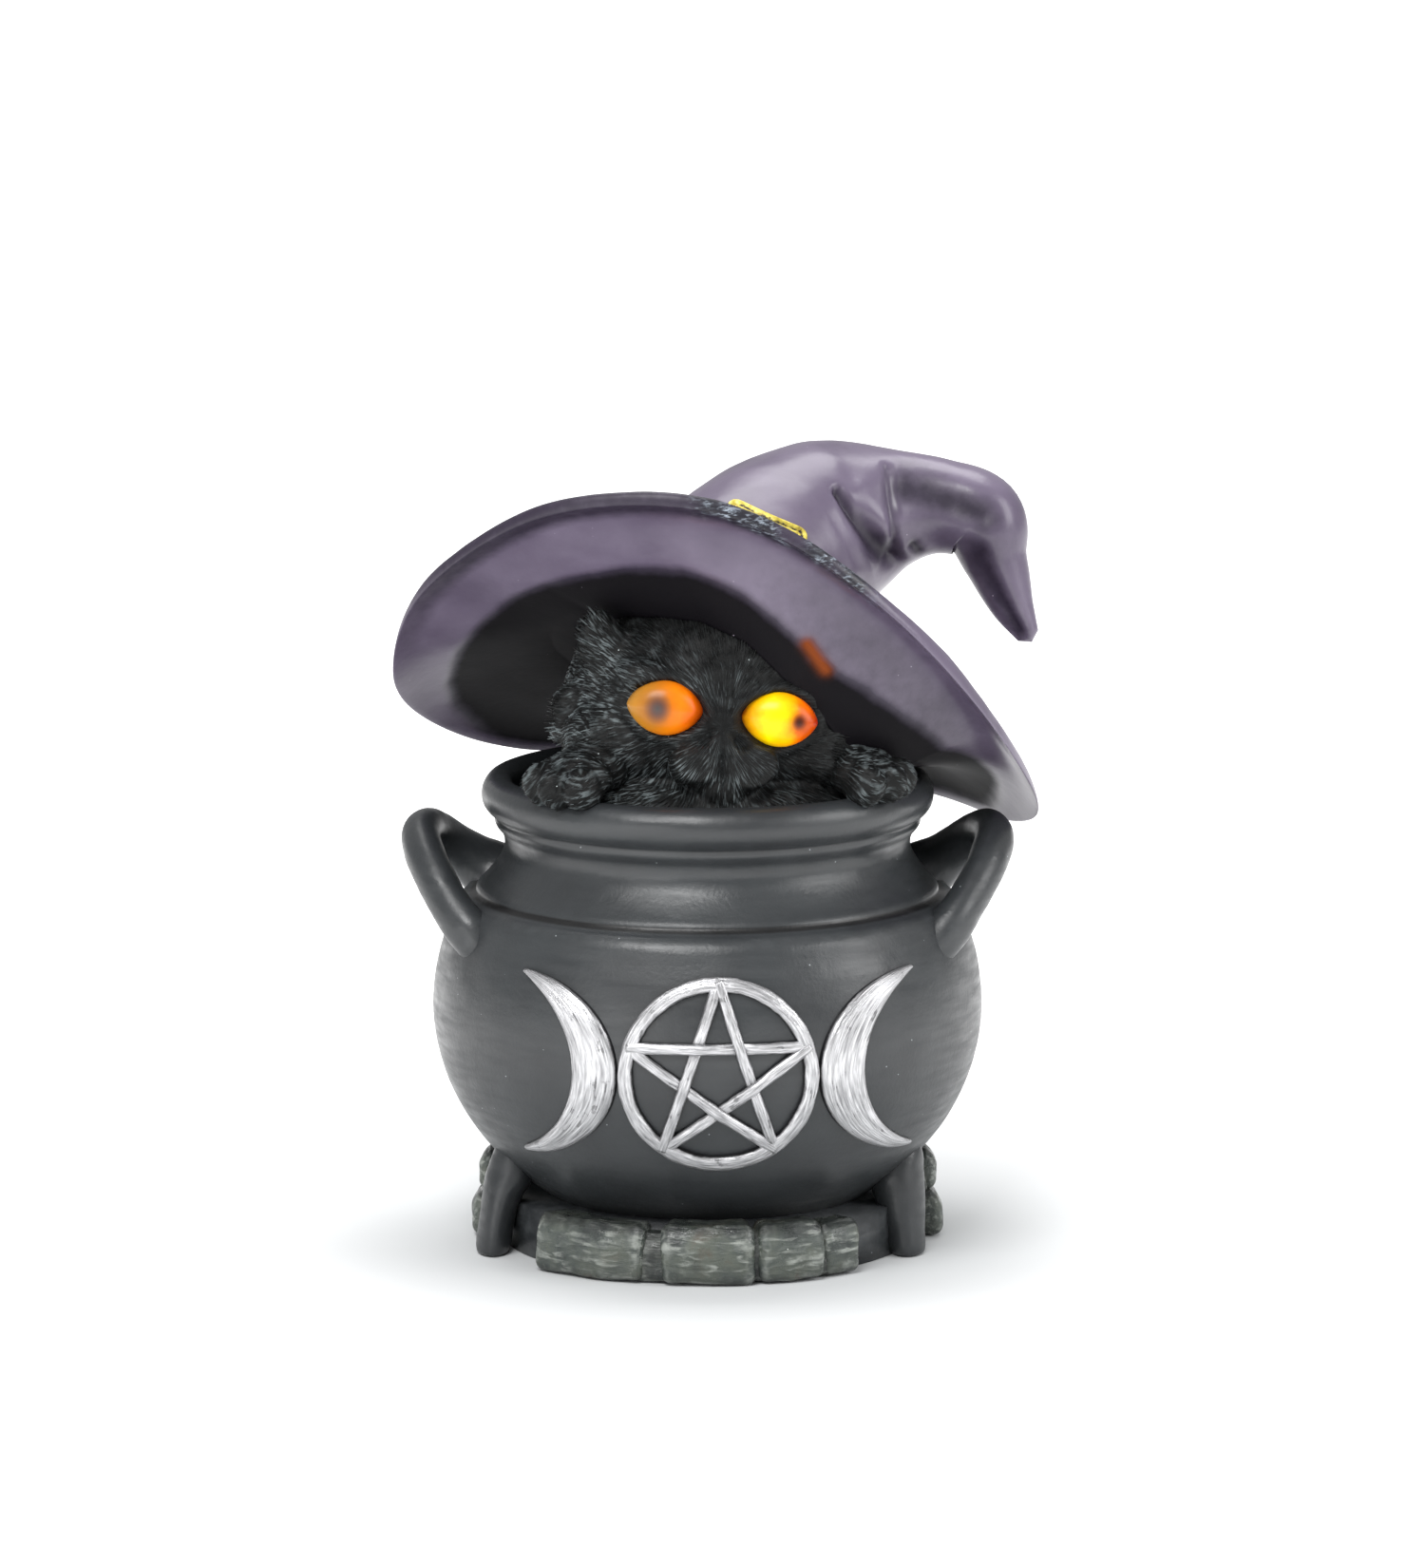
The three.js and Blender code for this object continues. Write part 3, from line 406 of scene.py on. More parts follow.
# Cast polyresin sprayed satin black: charcoal with a soft sheen, orange-peel skin and a little pale dust, darker
# in the creases and hollows as painted shade.
def sprayed_black_resin():
    material, t = blank_finish("sprayed_black_resin")
    here = add(t, "ShaderNodeTexCoord").outputs["Object"]
    relief = add(t, STORED, attribute_name="relief").outputs["Fac"]
    base = add(t, RAMP, {"Fac": add(t, NOISE, pattern(here, 14))}, stops=[(0.3, "#27292b"), (0.7, "#303335")])
    # Painted shade: the colour goes near black where the surface lies in a hollow or crease.
    groove = add(t, RAMP, {"Fac": relief}, stops=[(0.25, 1.0), (0.45, 0.0)])
    base = add(t, MIX, {0: groove, 6: base, 7: "#0a0a0b"}, data_type="RGBA").outputs[2]
    dust = add(
        t, MATHS,
        {
            0: add(t, RAMP, {"Fac": relief}, stops=[(0.7, 0.0), (1.0, 0.35)]),
            1: add(t, RAMP, {"Fac": add(t, NOISE, pattern(here, 2.6, 5))}, stops=[(0.45, 0.0), (0.7, 1.0)]),
        },
        operation="MULTIPLY",
    )
    base = add(t, MIX, {0: dust, 6: base, 7: "#55585a"}, data_type="RGBA").outputs[2]
    base = add(t, MIX, {0: specks(t, 1.9, 0.11, 0.14), 6: base, 7: "#8f9497"}, data_type="RGBA").outputs[2]
    turned = add(t, PLACED, {"Vector": here, "Scale": (0.14, 0.14, 1.0)}).outputs[0]
    rough = add(t, RAMP, {"Fac": add(t, NOISE, pattern(turned, 1.2, 4))}, stops=[(0.3, 0.28), (0.7, 0.46)])
    normal = add(t, BUMP, {"Height": add(t, NOISE, pattern(here, 6)), "Distance": 0.9 * MM, "Strength": 0.14})
    normal = add(t, BUMP, {
        "Height": add(t, NOISE, pattern(turned, 1.0)), "Distance": 0.1 * MM, "Strength": 0.12, "Normal": normal,
    })
    normal = add(t, BUMP, {
        "Height": add(t, NOISE, pattern(here, 0.55)), "Distance": 0.1 * MM, "Strength": 0.3, "Normal": normal,
    })
    shader = add(t, "ShaderNodeBsdfPrincipled", {
        "Base Color": base, "Roughness": rough, "IOR": 1.5, "Normal": normal,
    })
    add(t, "ShaderNodeOutputMaterial", {"Surface": shader})
    return material


# Resin fur carved in strokes, black, with its ridges dry-brushed in greenish grey; the grey lies thicker on the
# left side, the forehead and the left ear, as painted light.
def brushed_fur(strands):
    material, t = blank_finish("brushed_fur_strands" if strands else "brushed_fur_skin")
    here = add(t, "ShaderNodeTexCoord").outputs["Object"]
    comb_at = add(t, STORED, attribute_name="comb_at").outputs["Vector"]
    brushed = add(t, STORED, attribute_name="brushed").outputs["Fac"]
    drybrush_and_painted_light = add(t, STORED, attribute_name="drybrush_and_painted_light").outputs["Fac"]
    along = add(t, PLACED, {"Vector": comb_at, "Scale": (1.0, 0.16, 1.0)})
    strokes = add(t, NOISE, {"Vector": along.outputs[0], "Scale": 2.6, "Detail": 3.0}).outputs["Fac"]
    patch = add(t, RAMP, {"Fac": add(t, NOISE, pattern(here, 3.6))}, stops=[(0.38, 0.1), (0.62, 1.0)])
    ridge = add(
        t, RAMP, {"Fac": brushed}, stops=[(0.35, 0.0), (0.95, 1.0)],
    ) if strands else add(t, RAMP, {"Fac": strokes}, stops=[(0.5, 0.0), (0.66, 0.8)])
    # The stored amount carries painted light on the lit left side of the face as well as the dry-brush.
    share = add(
        t, MATHS, {0: add(t, MATHS, {0: ridge, 1: patch}, operation="MULTIPLY"), 1: drybrush_and_painted_light}, operation="MULTIPLY",
    )
    base = add(t, MIX, {0: share, 6: "#060707", 7: "#747d7f"}, data_type="RGBA").outputs[2]
    base = add(t, MIX, {0: specks(t, 1.5, 0.1, 0.12), 6: base, 7: "#aab3b3"}, data_type="RGBA").outputs[2]
    normal = add(t, BUMP, {"Height": strokes, "Distance": 0.35 * MM, "Strength": 0.0 if strands else 0.9})
    normal = add(t, BUMP, {
        "Height": add(t, NOISE, pattern(here, 0.5)), "Distance": 0.1 * MM, "Strength": 0.4, "Normal": normal,
    })
    shader = add(t, "ShaderNodeBsdfPrincipled", {
        "Base Color": base, "Roughness": 0.55, "Specular IOR Level": 0.22, "Normal": normal,
    })
    add(t, "ShaderNodeOutputMaterial", {"Surface": shader})
    return material


# Painted resin with a satin lacquer: dusty purple and lighter outside. Painted shade lies near black under the
# brim and dark purple in the folds; the pale dry-brushed flecks along the brim's front edge are partly a painted
# highlight; an orange spot under the brim is painted light from the eye.
def lacquered_hat():
    material, t = blank_finish("lacquered_hat_resin")
    here = add(t, "ShaderNodeTexCoord").outputs["Object"]
    shade = add(t, STORED, attribute_name="shade").outputs["Fac"]
    brushed = add(t, STORED, attribute_name="brushed").outputs["Fac"]
    painted_light = add(t, STORED, attribute_name="painted_light").outputs["Fac"]
    cloud = add(t, NOISE, pattern(here, 14, 4))
    dusty = add(t, RAMP, {"Fac": cloud}, stops=[(0.3, "#4f4658"), (0.7, "#665d6f")])
    shade = add(
        t, MATHS,
        {
            0: shade,
            1: add(
                t, MATHS, {0: add(t, NOISE, pattern(here, 2.2, 4)), 1: 0.24, 2: -0.12}, operation="MULTIPLY_ADD",
            ),
        },
        operation="ADD", use_clamp=True,
    )
    # Painted shade: the stored shade turns the purple dark in the folds and near black under the brim.
    base = add(
        t, MIX,
        {0: add(t, RAMP, {"Fac": shade}, stops=[(0.08, 0.0), (0.5, 1.0)]), 6: dusty, 7: "#27202f"},
        data_type="RGBA",
    ).outputs[2]
    base = add(
        t, MIX,
        {0: add(t, RAMP, {"Fac": shade}, stops=[(0.5, 0.0), (0.95, 1.0)]), 6: base, 7: "#09070b"},
        data_type="RGBA",
    ).outputs[2]
    streaks = add(t, PLACED, {"Vector": here, "Rotation": (0, -0.45, 0), "Scale": (0.3, 0.6, 1.0)})
    fleck = add(
        t, RAMP,
        {"Fac": add(t, NOISE, {**pattern(streaks.outputs[0], 0.42, 4), "Roughness": 0.65})},
        stops=[(0.5, 0.0), (0.62, 0.85)],
    )
    # A dark strip with pale flecks along the brim's front edge: dry-brushed, and partly a painted highlight.
    base = add(t, MIX, {0: brushed, 6: base, 7: "#17161f"}, data_type="RGBA").outputs[2]
    patches = add(t, RAMP, {"Fac": add(t, NOISE, pattern(here, 3.5))}, stops=[(0.42, 0.15), (0.6, 1.0)])
    base = add(
        t, MIX,
        {
            0: add(
                t, MATHS,
                {0: add(t, MATHS, {0: brushed, 1: fleck}, operation="MULTIPLY"), 1: patches},
                operation="MULTIPLY",
            ),
            6: base, 7: "#9aa4b0",
        },
        data_type="RGBA",
    ).outputs[2]
    base = add(t, MIX, {0: specks(t, 1.9, 0.1, 0.12), 6: base, 7: "#8d8492"}, data_type="RGBA").outputs[2]
    normal = add(t, BUMP, {"Height": add(t, NOISE, pattern(here, 9, 2)), "Distance": 1.0 * MM, "Strength": 0.12})
    normal = add(t, BUMP, {
        "Height": add(t, NOISE, pattern(here, 0.9)), "Distance": 0.1 * MM, "Strength": 0.25, "Normal": normal,
    })
    rough = add(t, RAMP, {"Fac": shade}, stops=[(0.2, 0.3), (0.8, 0.6)])
    sheen = add(t, RAMP, {"Fac": shade}, stops=[(0.3, 0.5), (0.9, 0.1)])
    # The emission is painted light: the orange of the eye's lamp falling on the underside of the brim.
    shader = add(t, "ShaderNodeBsdfPrincipled", {
        "Base Color": base, "Roughness": rough, "Specular IOR Level": sheen, "Normal": normal,
        "Emission Color": linear("#ff7c20"), "Emission Strength": painted_light,
    })
    add(t, "ShaderNodeOutputMaterial", {"Surface": shader})
    return material


# Metallic acrylic laid on with a dry brush: bright on the raised faces, black left along the edges.
def brushed_silver():
    material, t = blank_finish("brushed_silver_paint")
    here = add(t, "ShaderNodeTexCoord").outputs["Object"]
    stroke_at = add(t, STORED, attribute_name="stroke_at").outputs["Vector"]
    side = add(t, STORED, attribute_name="side").outputs["Fac"]
    at = add(t, PLACED, {"Vector": stroke_at, "Scale": (0.1, 1.0, 1.0)})
    strokes = add(t, NOISE, {"Vector": at.outputs[0], "Scale": 3.4, "Detail": 4.0}).outputs["Fac"]
    bright = add(t, RAMP, {"Fac": strokes}, stops=[(0.3, "#858587"), (0.5, "#b0b0b2"), (0.7, "#d8d8da")])
    worn = add(t, MATHS, {0: strokes, 1: 0.5, 2: add(t, NOISE, pattern(here, 2.6, 5))}, operation="MULTIPLY_ADD")
    thin = add(t, RAMP, {"Fac": worn}, stops=[(0.56, 0.6), (0.62, 0.0)])
    edge = add(
        t, RAMP,
        {
            "Fac": add(
                t, MATHS,
                {
                    0: side,
                    1: add(
                        t, MATHS,
                        {0: add(t, NOISE, pattern(here, 0.9, 4)), 1: 0.5, 2: -0.25},
                        operation="MULTIPLY_ADD",
                    ),
                },
                operation="ADD",
            )
        },
        stops=[(0.3, 0.0), (0.6, 1.0)],
    )
    bare = add(t, MATHS, {0: edge, 1: thin}, operation="MAXIMUM")
    base = add(t, MIX, {0: bare, 6: bright, 7: "#19191b"}, data_type="RGBA").outputs[2]
    metal = add(
        t, MATHS, {0: add(t, MATHS, {0: 1.0, 1: bare}, operation="SUBTRACT"), 1: 0.85}, operation="MULTIPLY",
    )
    normal = add(t, BUMP, {"Height": strokes, "Distance": 0.3 * MM, "Strength": 0.6})
    normal = add(t, BUMP, {
        "Height": add(t, NOISE, pattern(here, 0.6)), "Distance": 0.1 * MM, "Strength": 0.35, "Normal": normal,
    })
    shader = add(t, "ShaderNodeBsdfPrincipled", {
        "Base Color": base, "Metallic": metal, "Roughness": 0.33, "Normal": normal,
    })
    add(t, "ShaderNodeOutputMaterial", {"Surface": shader})
    return material


# Metallic gold acrylic, a strong yellow, patchy where the brush ran dry.
def gold_paint():
    material, t = blank_finish("brushed_gold_paint")
    here = add(t, "ShaderNodeTexCoord").outputs["Object"]
    side = add(t, STORED, attribute_name="side").outputs["Fac"]
    base = add(
        t, RAMP,
        {"Fac": add(t, NOISE, pattern(here, 1.1, 4))},
        stops=[(0.3, "#8f7a2a"), (0.55, "#c9b84a"), (0.8, "#e6dc90")],
    )
    bare = add(
        t, RAMP,
        {"Fac": add(t, MATHS, {0: add(t, NOISE, pattern(here, 0.8, 4)), 1: side}, operation="ADD")},
        stops=[(0.62, 0.0), (0.8, 1.0)],
    )
    base = add(t, MIX, {0: bare, 6: base, 7: "#2a2420"}, data_type="RGBA").outputs[2]
    normal = add(t, BUMP, {"Height": add(t, NOISE, pattern(here, 0.7)), "Distance": 0.15 * MM, "Strength": 0.4})
    shader = add(t, "ShaderNodeBsdfPrincipled", {
        "Base Color": base, "Metallic": 0.3, "Roughness": 0.4, "Normal": normal,
    })
    add(t, "ShaderNodeOutputMaterial", {"Surface": shader})
    return material


# Cast stones: slate grey washed green and brown, brushed pale along the courses, wet gloss in places.
def washed_stone():
    material, t = blank_finish("washed_stone_paint")
    here = add(t, "ShaderNodeTexCoord").outputs["Object"]
    stroke_at = add(t, STORED, attribute_name="stroke_at").outputs["Vector"]
    relief = add(t, STORED, attribute_name="relief").outputs["Fac"]
    shade = add(t, STORED, attribute_name="shade").outputs["Fac"]
    at = add(t, PLACED, {"Vector": stroke_at, "Scale": (0.22, 1.0, 1.0)})
    strokes = add(t, NOISE, {
        "Vector": at.outputs[0], "Scale": 1.1, "Detail": 5.0, "Distortion": 0.6,
    }).outputs["Fac"]
    wash = add(
        t, RAMP,
        {"Fac": add(t, NOISE, pattern(here, 5.5, 4))},
        stops=[(0.3, "#272b2b"), (0.46, "#444a46"), (0.6, "#52574f"), (0.76, "#50493f")],
    )
    # Painted shade: near black where the stone lies in a hollow.
    base = add(
        t, MIX,
        {0: add(t, RAMP, {"Fac": relief}, stops=[(0.34, 1.0), (0.5, 0.0)]), 6: wash, 7: "#0f1011"},
        data_type="RGBA",
    ).outputs[2]
    rub = add(
        t, MATHS,
        {
            0: add(t, RAMP, {"Fac": strokes}, stops=[(0.5, 0.0), (0.64, 0.85)]),
            1: add(t, RAMP, {"Fac": add(t, NOISE, pattern(here, 3.2))}, stops=[(0.4, 0.1), (0.6, 1.0)]),
        },
        operation="MULTIPLY",
    )
    base = add(t, MIX, {0: rub, 6: base, 7: "#969a94"}, data_type="RGBA").outputs[2]
    rim = add(
        t, MATHS,
        {
            0: add(t, RAMP, {"Fac": relief}, stops=[(0.6, 0.0), (0.85, 0.7)]),
            1: add(t, RAMP, {"Fac": add(t, NOISE, pattern(here, 1.6, 4))}, stops=[(0.45, 0.0), (0.6, 1.0)]),
        },
        operation="MULTIPLY",
    )
    base = add(t, MIX, {0: rim, 6: base, 7: "#8f938d"}, data_type="RGBA").outputs[2]
    base = add(
        t, MIX,
        {
            0: add(
                t, MATHS,
                {
                    0: shade,
                    1: add(
                        t, RAMP, {"Fac": add(t, NOISE, pattern(here, 1.8, 4))}, stops=[(0.35, 1.0), (0.75, 0.5)],
                    ),
                },
                operation="MULTIPLY",
            ),
            6: base, 7: "#101213",
        },
        data_type="RGBA",
    ).outputs[2]
    base = add(t, MIX, {0: specks(t, 1.7, 0.12, 0.1), 6: base, 7: "#b4b8b4"}, data_type="RGBA").outputs[2]
    rough = add(t, RAMP, {"Fac": add(t, NOISE, pattern(here, 2.6, 4))}, stops=[(0.38, 0.24), (0.6, 0.55)])
    normal = add(t, BUMP, {"Height": strokes, "Distance": 0.5 * MM, "Strength": 0.5})
    normal = add(t, BUMP, {
        "Height": add(t, NOISE, pattern(here, 0.7, 4)), "Distance": 0.2 * MM, "Strength": 0.4, "Normal": normal,
    })
    shader = add(t, "ShaderNodeBsdfPrincipled", {
        "Base Color": base, "Roughness": rough, "IOR": 1.5, "Normal": normal,
    })
    add(t, "ShaderNodeOutputMaterial", {"Surface": shader})
    return material


# A clear cast dome over a painted iris, lit from behind by its lamp.
def lit_eye(name, centre, colours, pupil):
    material, t = blank_finish(name)
    here = add(t, "ShaderNodeTexCoord").outputs["Object"]
    half = (EYE["width"] / 2, EYE["height"] / 2)
    tilt = math.radians(EYE["tilt"])
    moved = add(t, PLACED, {"Vector": here, "Location": [-c * MM for c in centre]}, vector_type="POINT")
    turned = add(t, PLACED, {"Vector": moved.outputs[0], "Rotation": (0, -tilt, 0)}, vector_type="POINT")
    spread = add(t, PLACED, {"Vector": turned.outputs[0], "Scale": (per_mm(half[0]), 0, per_mm(half[1]))})
    parted = add(t, "ShaderNodeSeparateXYZ", {"Vector": spread.outputs[0]})
    across, up = parted.outputs[0], parted.outputs[2]
    wobble = add(t, MATHS, {0: add(t, NOISE, pattern(here, 2.2)), 1: 0.5, 2: -0.25}, operation="MULTIPLY_ADD")
    along = add(
        t, MATHS,
        {0: add(t, MATHS, {0: across, 1: wobble}, operation="ADD"), 1: 0.5, 2: 0.5},
        operation="MULTIPLY_ADD",
    )
    iris = add(t, RAMP, {"Fac": along}, stops=colours)
    offset = add(
        t, "ShaderNodeVectorMath", {0: spread.outputs[0], 1: (pupil["x"], 0, pupil["z"])}, operation="SUBTRACT",
    )
    squeezed = add(t, "ShaderNodeVectorMath", {0: offset.outputs[0], 1: (1, 0, 0.62)}, operation="MULTIPLY")
    away = add(t, "ShaderNodeVectorMath", {0: squeezed.outputs[0]}, operation="LENGTH").outputs["Value"]
    dark = add(
        t, RAMP, {"Fac": away},
        stops=[(pupil["radius"] * 0.35, 1.0), (pupil["radius"], 0.45), (pupil["radius"] * 1.7, 0.0)],
    )
    ringed = add(t, MIX, {0: dark, 6: iris, 7: pupil["edge"]}, data_type="RGBA").outputs[2]
    core = add(t, RAMP, {"Fac": away}, stops=[(0.0, 1.0), (pupil["radius"] * 1.05, 0.0)])
    colour = add(t, MIX, {0: core, 6: ringed, 7: pupil["colour"]}, data_type="RGBA").outputs[2]
    rim = add(t, RAMP, {"Fac": add(t, MATHS, {0: up}, operation="ABSOLUTE")}, stops=[(0.72, 0.0), (1.0, 0.35)])
    colour = add(t, MIX, {0: rim, 6: colour, 7: "#a8430c"}, data_type="RGBA").outputs[2]
    shader = add(t, "ShaderNodeBsdfPrincipled", {
        "Base Color": colour, "Roughness": 0.28, "IOR": 1.49, "Specular IOR Level": 0.25,
        "Emission Color": colour, "Emission Strength": pupil["light"],
    })
    add(t, "ShaderNodeOutputMaterial", {"Surface": shader})
    return material


# Moulded or wound small parts inside and underneath.
def small_part(name, tones, grain, roughness, metallic=0.0, bump=0.2, extra=None):
    material, t = blank_finish(name)
    here = add(t, "ShaderNodeTexCoord").outputs["Object"]
    base = add(
        t, RAMP, {"Fac": add(t, NOISE, pattern(here, grain * 6, 4))}, stops=[(0.3, tones[0]), (0.7, tones[1])],
    )
    normal = add(t, BUMP, {
        "Height": add(t, NOISE, pattern(here, grain)), "Distance": grain * 0.3 * MM, "Strength": bump,
    })
    rough = add(
        t, RAMP,
        {"Fac": add(t, NOISE, pattern(here, grain * 4))},
        stops=[(0.3, roughness - 0.06), (0.7, roughness + 0.06)],
    )
    shader = add(t, "ShaderNodeBsdfPrincipled", {
        "Base Color": base, "Metallic": metallic, "Roughness": rough, "Normal": normal, **(extra or {}),
    })
    add(t, "ShaderNodeOutputMaterial", {"Surface": shader})
    return material


black = sprayed_black_resin()
fur_skin = brushed_fur(False)
fur_strands = brushed_fur(True)
hat_finish = lacquered_hat()
silver = brushed_silver()
gold = gold_paint()
stone = washed_stone()

# ---------------------------------------------------------------- cauldron


def pot_radius(z):
    """Outer radius of the egg-shaped belly and the hollow-sided neck."""
    z = np.asarray(z, float)
    half = np.where(z < BELLY["widest"], BELLY["drop"], BELLY["rise"])
    egg_side = BELLY["radius"] * np.sqrt(np.maximum(0, 1 - ((z - BELLY["widest"]) / half) ** 2))
    shoulder = BELLY["radius"] * math.sqrt(1 - ((BELLY["shoulder"] - BELLY["widest"]) / BELLY["rise"]) ** 2)
    share = np.clip((NECK["waist"] - z) / (NECK["waist"] - BELLY["shoulder"]), 0, 1)
    hollow = NECK["radius"] + (shoulder - NECK["step"] - NECK["radius"]) * share**1.6
    return np.where(z <= BELLY["shoulder"], egg_side, hollow)


def cauldron():
    belly_z = BELLY["floor"] + (BELLY["shoulder"] - BELLY["floor"]) * np.linspace(0, 1, 70) ** 1.2
    rim = [
        (31.05, 62.3), (31.4, 63.2), (32.1, 64.0), (32.55, 64.8), (32.5, 65.4), (32.75, 65.8), (33.6, 66.5),
        (34.35, 67.6), (34.6, 68.8), (34.45, 70.0), (33.8, 71.2), (32.9, 71.85), (31.6, 72.05), (30.4, 71.5),
        (29.8, 70.4), (29.6, 68.4),
    ]
    neck_z = np.linspace(54.1, 61.6, 20)
    outside = [(0, BELLY["floor"])] + [(float(pot_radius(z)), z) for z in belly_z]
    outside += [(float(pot_radius(z)), z) for z in neck_z]
    outside += [tuple(p) for p in through(rim, 52)]
    wall = 4
    inside = [(29.5, 65.4), (27.2, 65.2), (27, 60.5)]
    inside += [(float(pot_radius(z)) - wall, z) for z in np.linspace(51.5, BELLY["floor"] + wall, 12)]
    pot = lathe("cauldron", outside + inside + [(0, BELLY["floor"] + wall)], 288, black)
    points = points_of(pot)
    out = np.linalg.norm(points[:, :2], axis=1)
    skin_share = ease(-1.5, -0.3, out - pot_radius(np.minimum(points[:, 2], 61.6))) * ease(6.5, 9, points[:, 2])
    crease = -0.75 * hump(
        points[:, 2], BELLY["shoulder"] + 0.5, 0.55,
    ) + 0.28 * hump(points[:, 2], BELLY["shoulder"] - 1.6, 1.4)
    uneven = 0.17 * lumps(points, 13, 1) - 0.1 + 0.05 * lumps(points, 4, 2)
    radial = np.column_stack([points[:, 0] / np.maximum(out, 1), points[:, 1] / np.maximum(out, 1), 0 * out])
    set_points(pot, points + radial * (skin_share * (crease + uneven))[:, None])
    cut_bay(pot)
    face_outwards(pot)
    mark_relief(pot, 0.12)
    seat(pot, "figure", "black_resin", "cauldron_body")


def ear_handle(side, name, node):
    """A loop that stands out from the shoulder, one root in front of the other, melting into the pot."""
    count = 96
    path = through(
        [
            (side * 33.0, -14.6, 47.6), (side * 36.4, -14.6, 50.6), (side * 39.4, -12.2, 54.4),
            (side * 42.2, -8.0, 58.8), (side * 43.7, -2.6, 61.9), (side * 43.2, 2.6, 62.5),
            (side * 41.0, 7.0, 60.9), (side * 38.2, 9.8, 58.4), (side * 35.0, 11.4, 55.6),
            (side * 31.0, 11.8, 53.0),
        ],
        count,
    )
    u = np.linspace(0, 1, count)
    along = np.gradient(path, axis=0)
    along /= np.linalg.norm(along, axis=1)[:, None]
    out = np.column_stack([np.full(count, float(side)), np.zeros(count), np.full(count, 0.35)])
    out -= along * np.einsum("ij,ij->i", out, along)[:, None]
    out /= np.linalg.norm(out, axis=1)[:, None]
    across = np.cross(along, out)
    swell = 1 + 0.3 * hump(u, 0.0, 0.12) + 0.75 * hump(u, 1.0, 0.13)
    turn = 2 * np.pi * np.arange(36) / 36
    ridge = 1 + 0.08 * np.abs(np.cos(turn))
    rings = [
        p + s * (2.75 * np.outer(ridge * np.cos(turn), o) + 3.4 * np.outer(np.sin(turn), c))
        for p, o, c, s in zip(path, out, across, swell)
    ]
    handle = skin(name, rings, finish=black)
    points = points_of(handle)
    push_out(handle, 0.16 * lumps(points, 6, 3 + side) + 0.05 * lumps(points, 2.2, 5))
    mark_relief(handle, 0.08)
    seat(handle, "figure", "black_resin", node)


def horn_foot(name, node, stations):
    """A leaning horn that grows out of the belly, from (height, x, half width, half depth) stations."""
    turn = 2 * np.pi * np.arange(44) / 44
    rings = []
    for z, x, half_x, half_y in through(stations, 56):
        ring = np.column_stack(
            [half_x * np.cos(turn), half_y * np.sin(turn) * (1 + 0.1 * np.abs(np.sin(turn))), 0 * turn]
        )
        rings.append(np.array([x, -12.3 + 0.08 * z, z]) + ring)
    foot = skin(name, rings, finish=black)
    points = points_of(foot)
    push_out(
        foot,
        (
            0.22 * lumps(points, 5, 11 + stations[0][1]) + 0.08 * lumps(points, 1.8, 12)
        ) * ease(0.2, 1.5, points[:, 2]),
    )
    mark_relief(foot, 0.08)
    seat(foot, "figure", "black_resin", node)


# ---------------------------------------------------------------- ring of stones

def stone_block(from_deg, to_deg, bottom, top, outer, seed, dark=0.0):
    """One sculpted stone of the ring: a rounded block bent to the ring and worn uneven."""
    shape = bmesh.new()
    bmesh.ops.create_cube(shape, size=2)
    bmesh.ops.subdivide_edges(shape, edges=shape.edges, cuts=21, use_grid_fill=True)
    co = np.array([v.co for v in shape.verts], float)
    faces = [[v.index for v in f.verts] for f in shape.faces]
    shape.free()
    middle = math.radians(from_deg + to_deg) / 2
    half = np.array(
        [math.radians(to_deg - from_deg) / 2 * outer, (outer - RING["inner"]) / 2, (top - bottom) / 2]
    )
    corner = 1.5
    q = co * half
    core = np.clip(q, -half + corner, half - corner)
    d = q - core
    length = np.maximum(np.linalg.norm(d, axis=1), 1e-9)[:, None]
    q = np.where(length > 1e-6, core + d / length * np.minimum(length, corner) , q)
    worn = 0.4 * lumps(q + seed * 9, 5.5, seed) + 0.1 * lumps(q, 2.2, seed + 3)
    push = co / np.maximum(np.linalg.norm(co, axis=1), 1e-9)[:, None]
    q = q + push * (worn - 0.25)[:, None]
    q[:, 1] -= 0.9 * ease(0.2, 1, co[:, 2]) * ease(0, 1, co[:, 1])
    bearing = middle + q[:, 0] / outer
    radius = (outer + RING["inner"]) / 2 + q[:, 1]
    height = (bottom + top) / 2 + q[:, 2]
    points = np.column_stack([radius * np.sin(bearing), -radius * np.cos(bearing), np.maximum(height, 0.0)])
    block = new_piece("stone", points, faces, stone)
    kept = points_of(block)
    # The stored shade paints the top faces darker, as painted shade, and the stones darker towards the bottom;
    # the filler between the stones is dark.
    store(block, "shade", np.maximum(dark, 0.85 * ease(0.5, 0.9, co[:, 2]) + 0.4 * ease(0.0, -1.0, co[:, 2])))
    round_the_ring = np.arctan2(kept[:, 0], -kept[:, 1]) * outer
    store(
        block, "stroke_at",
        np.column_stack([round_the_ring, kept[:, 2], np.linalg.norm(kept[:, :2], axis=1) + 3 * seed]),
    )
    return block


